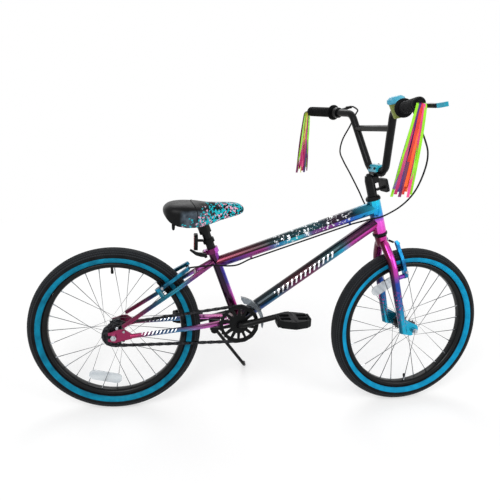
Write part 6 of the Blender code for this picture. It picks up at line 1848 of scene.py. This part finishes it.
@dataclass(frozen=True)
class Studio:
    """The camera, lights, floor and world."""

    rig: Rig
    world_light: float = 0.42
    photo_pixels: float = 500.0
    focal_pixels: float = 543.5
    sensor_mm: float = 36.0
    floor_size: float = 14.0
    floor_drop: float = 0.0005
    lamp_target: Triple = (0.0, 0.0, 0.45)

    CAMERA_SPOT = Vector((0.161, -1.556, 0.898))
    CAMERA_FORWARD = Vector((0.145, 0.959, -0.245))
    CAMERA_RIGHT = Vector((0.989, -0.139, 0.040))
    # Name, place, size and power of each lamp
    LAMPS = (("key_lamp", (-1.3, -2.4, 2.6), 1.6, 62.0), ("fill_lamp", (2.2, -1.8, 1.6), 1.4, 24.0),
             ("back_lamp", (0.2, 2.4, 2.6), 2.0, 34.0))

    def build(self) -> None:
        """Build the camera, the lamps, the floor and the world."""
        self.camera()
        self.lamps()
        self.floor()
        self.world()
        bpy.context.scene.view_settings.view_transform = "Standard"

    @staticmethod
    def add(name: str, data: bpy.types.ID, place: Matrix) -> Piece:
        """Return a new object in the scene.

        Args:
            name: The object's name.
            data: Its camera, light or mesh.
            place: Its place.

        Returns:
            The object.
        """
        made = bpy.data.objects.new(name, data)
        made.matrix_world = place
        bpy.context.scene.collection.objects.link(made)
        return made

    def camera(self) -> None:
        """Place the camera where the photograph was taken from."""
        forward = self.CAMERA_FORWARD.normalized()
        right = (self.CAMERA_RIGHT - forward * self.CAMERA_RIGHT.dot(forward)).normalized()
        turn = Matrix((right, right.cross(forward), -forward)).transposed().to_4x4()
        lens = bpy.data.cameras.new("camera")
        lens.sensor_fit = "HORIZONTAL"
        lens.sensor_width = self.sensor_mm
        lens.lens = self.focal_pixels * self.sensor_mm / self.photo_pixels
        place = self.rig.bike @ Matrix.Translation(self.CAMERA_SPOT) @ turn
        bpy.context.scene.camera = self.add("camera", lens, place)

    def lamps(self) -> None:
        """Place three large soft lamps round the bike."""
        for name, spot, size, power in self.LAMPS:
            lamp = bpy.data.lights.new(name, "AREA")
            lamp.size = size
            lamp.energy = power
            aim = (Vector(self.lamp_target) - Vector(spot)).to_track_quat("-Z", "Y")
            self.add(name, lamp, Matrix.Translation(spot) @ aim.to_matrix().to_4x4())

    def floor(self) -> None:
        """Lay a pale floor that shows white but keeps the bike's shadow."""
        mesh = bmesh.new()
        bmesh.ops.create_grid(mesh, x_segments=2, y_segments=2, size=self.floor_size)
        data = bpy.data.meshes.new("floor")
        mesh.to_mesh(data)
        mesh.free()
        paper = bpy.data.materials.new("white_backdrop_paper")
        paper.use_nodes = True
        tree = paper.node_tree
        nodes, shader = Nodes(tree), tree.nodes["Principled BSDF"]
        connect(tree, shader, {"Base Color": linear("#F4F4F4"), "Roughness": 0.9})
        # Near the bike the paper shows more of its own shading, so that the shadow stays
        away = nodes.vector("LENGTH", nodes.place(), output="Value")
        share = nodes.ranged(away, 0.9, 2.2, 0.40, 1.0)
        strength = nodes.ranged(away, 0.9, 2.2, 1.28, 1.0)
        glow = add_node(tree, "Emission", {"Color": linear("#FFFFFF"), "Strength": strength})
        mix = add_node(tree, "MixShader", {
            0: nodes.times(self.seen(nodes), share), 1: shader.outputs[0], 2: glow.outputs[0]})
        connect(tree, tree.nodes["Material Output"], {"Surface": mix.outputs[0]})
        data.materials.append(paper)
        made = self.add("floor", data, Matrix.Translation(-self.floor_drop * UP))

    @staticmethod
    def seen(nodes: Nodes) -> Socket:
        """Return 1 for rays from the camera, or by way of gloss or glass, and 0 for light."""
        rays = add_node(nodes.tree, "LightPath").outputs
        straight = nodes.maths("MAXIMUM", rays["Is Camera Ray"], rays["Is Glossy Ray"])
        return nodes.maths("MAXIMUM", straight, rays["Is Transmission Ray"])

    def world(self) -> None:
        """Light the scene evenly, and show a white wall behind it."""
        world = bpy.data.worlds.new("studio")
        world.use_nodes = True
        bpy.context.scene.world = world
        nodes = Nodes(world.node_tree)
        level = nodes.ranged(self.seen(nodes), first=self.world_light)
        connect(nodes.tree, nodes.tree.nodes["Background"], {"Color": linear("#FFFFFF"), "Strength": level})


def main() -> None:
    """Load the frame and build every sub-assembly."""
    logging.basicConfig(level=logging.INFO, format="%(name)s %(message)s")
    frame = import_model()
    nodes = frame["nodes"]
    rig = Rig.from_joints(frame["joints"])
    Studio(rig).build()
    paintwork = Paintwork(rig)
    paintwork.dress(nodes)
    cockpit = Cockpit(rig)
    Cables(rig, cockpit).build()
    cockpit.build()
    Fork(rig, paintwork.fork_finish()).build()
    Brakes(rig).build()
    Hardware(rig, cockpit).build(frame["joints"], nodes)
    Wheel("front", rig.front_wheel, nodes["front_hub"], "#0E9CCB", "#0A80AA", math.radians(-101.5)).build()
    Wheel("rear", rig.rear_wheel, nodes["rear_hub"], "#0C86A8", "#07627E", math.radians(92.0)).build()
    Saddle(rig).build()
    Lens("rear_lens", rig.bike, Body.SEAT, RED_ACRYLIC, "red_reflector",
         face=0.2300, ahead=-1.0, middle=0.5249, half=(0.0205, 0.0205)).build()
    Lens("front_lens", rig.steering, Body.STEERING, CLEAR_ACRYLIC, "clear_reflector",
         face=0.0460, ahead=1.0, middle=0.4640, half=(0.0232, 0.0188)).build()
    bpy.context.view_layer.update()


if __name__ == "__main__":
    main()
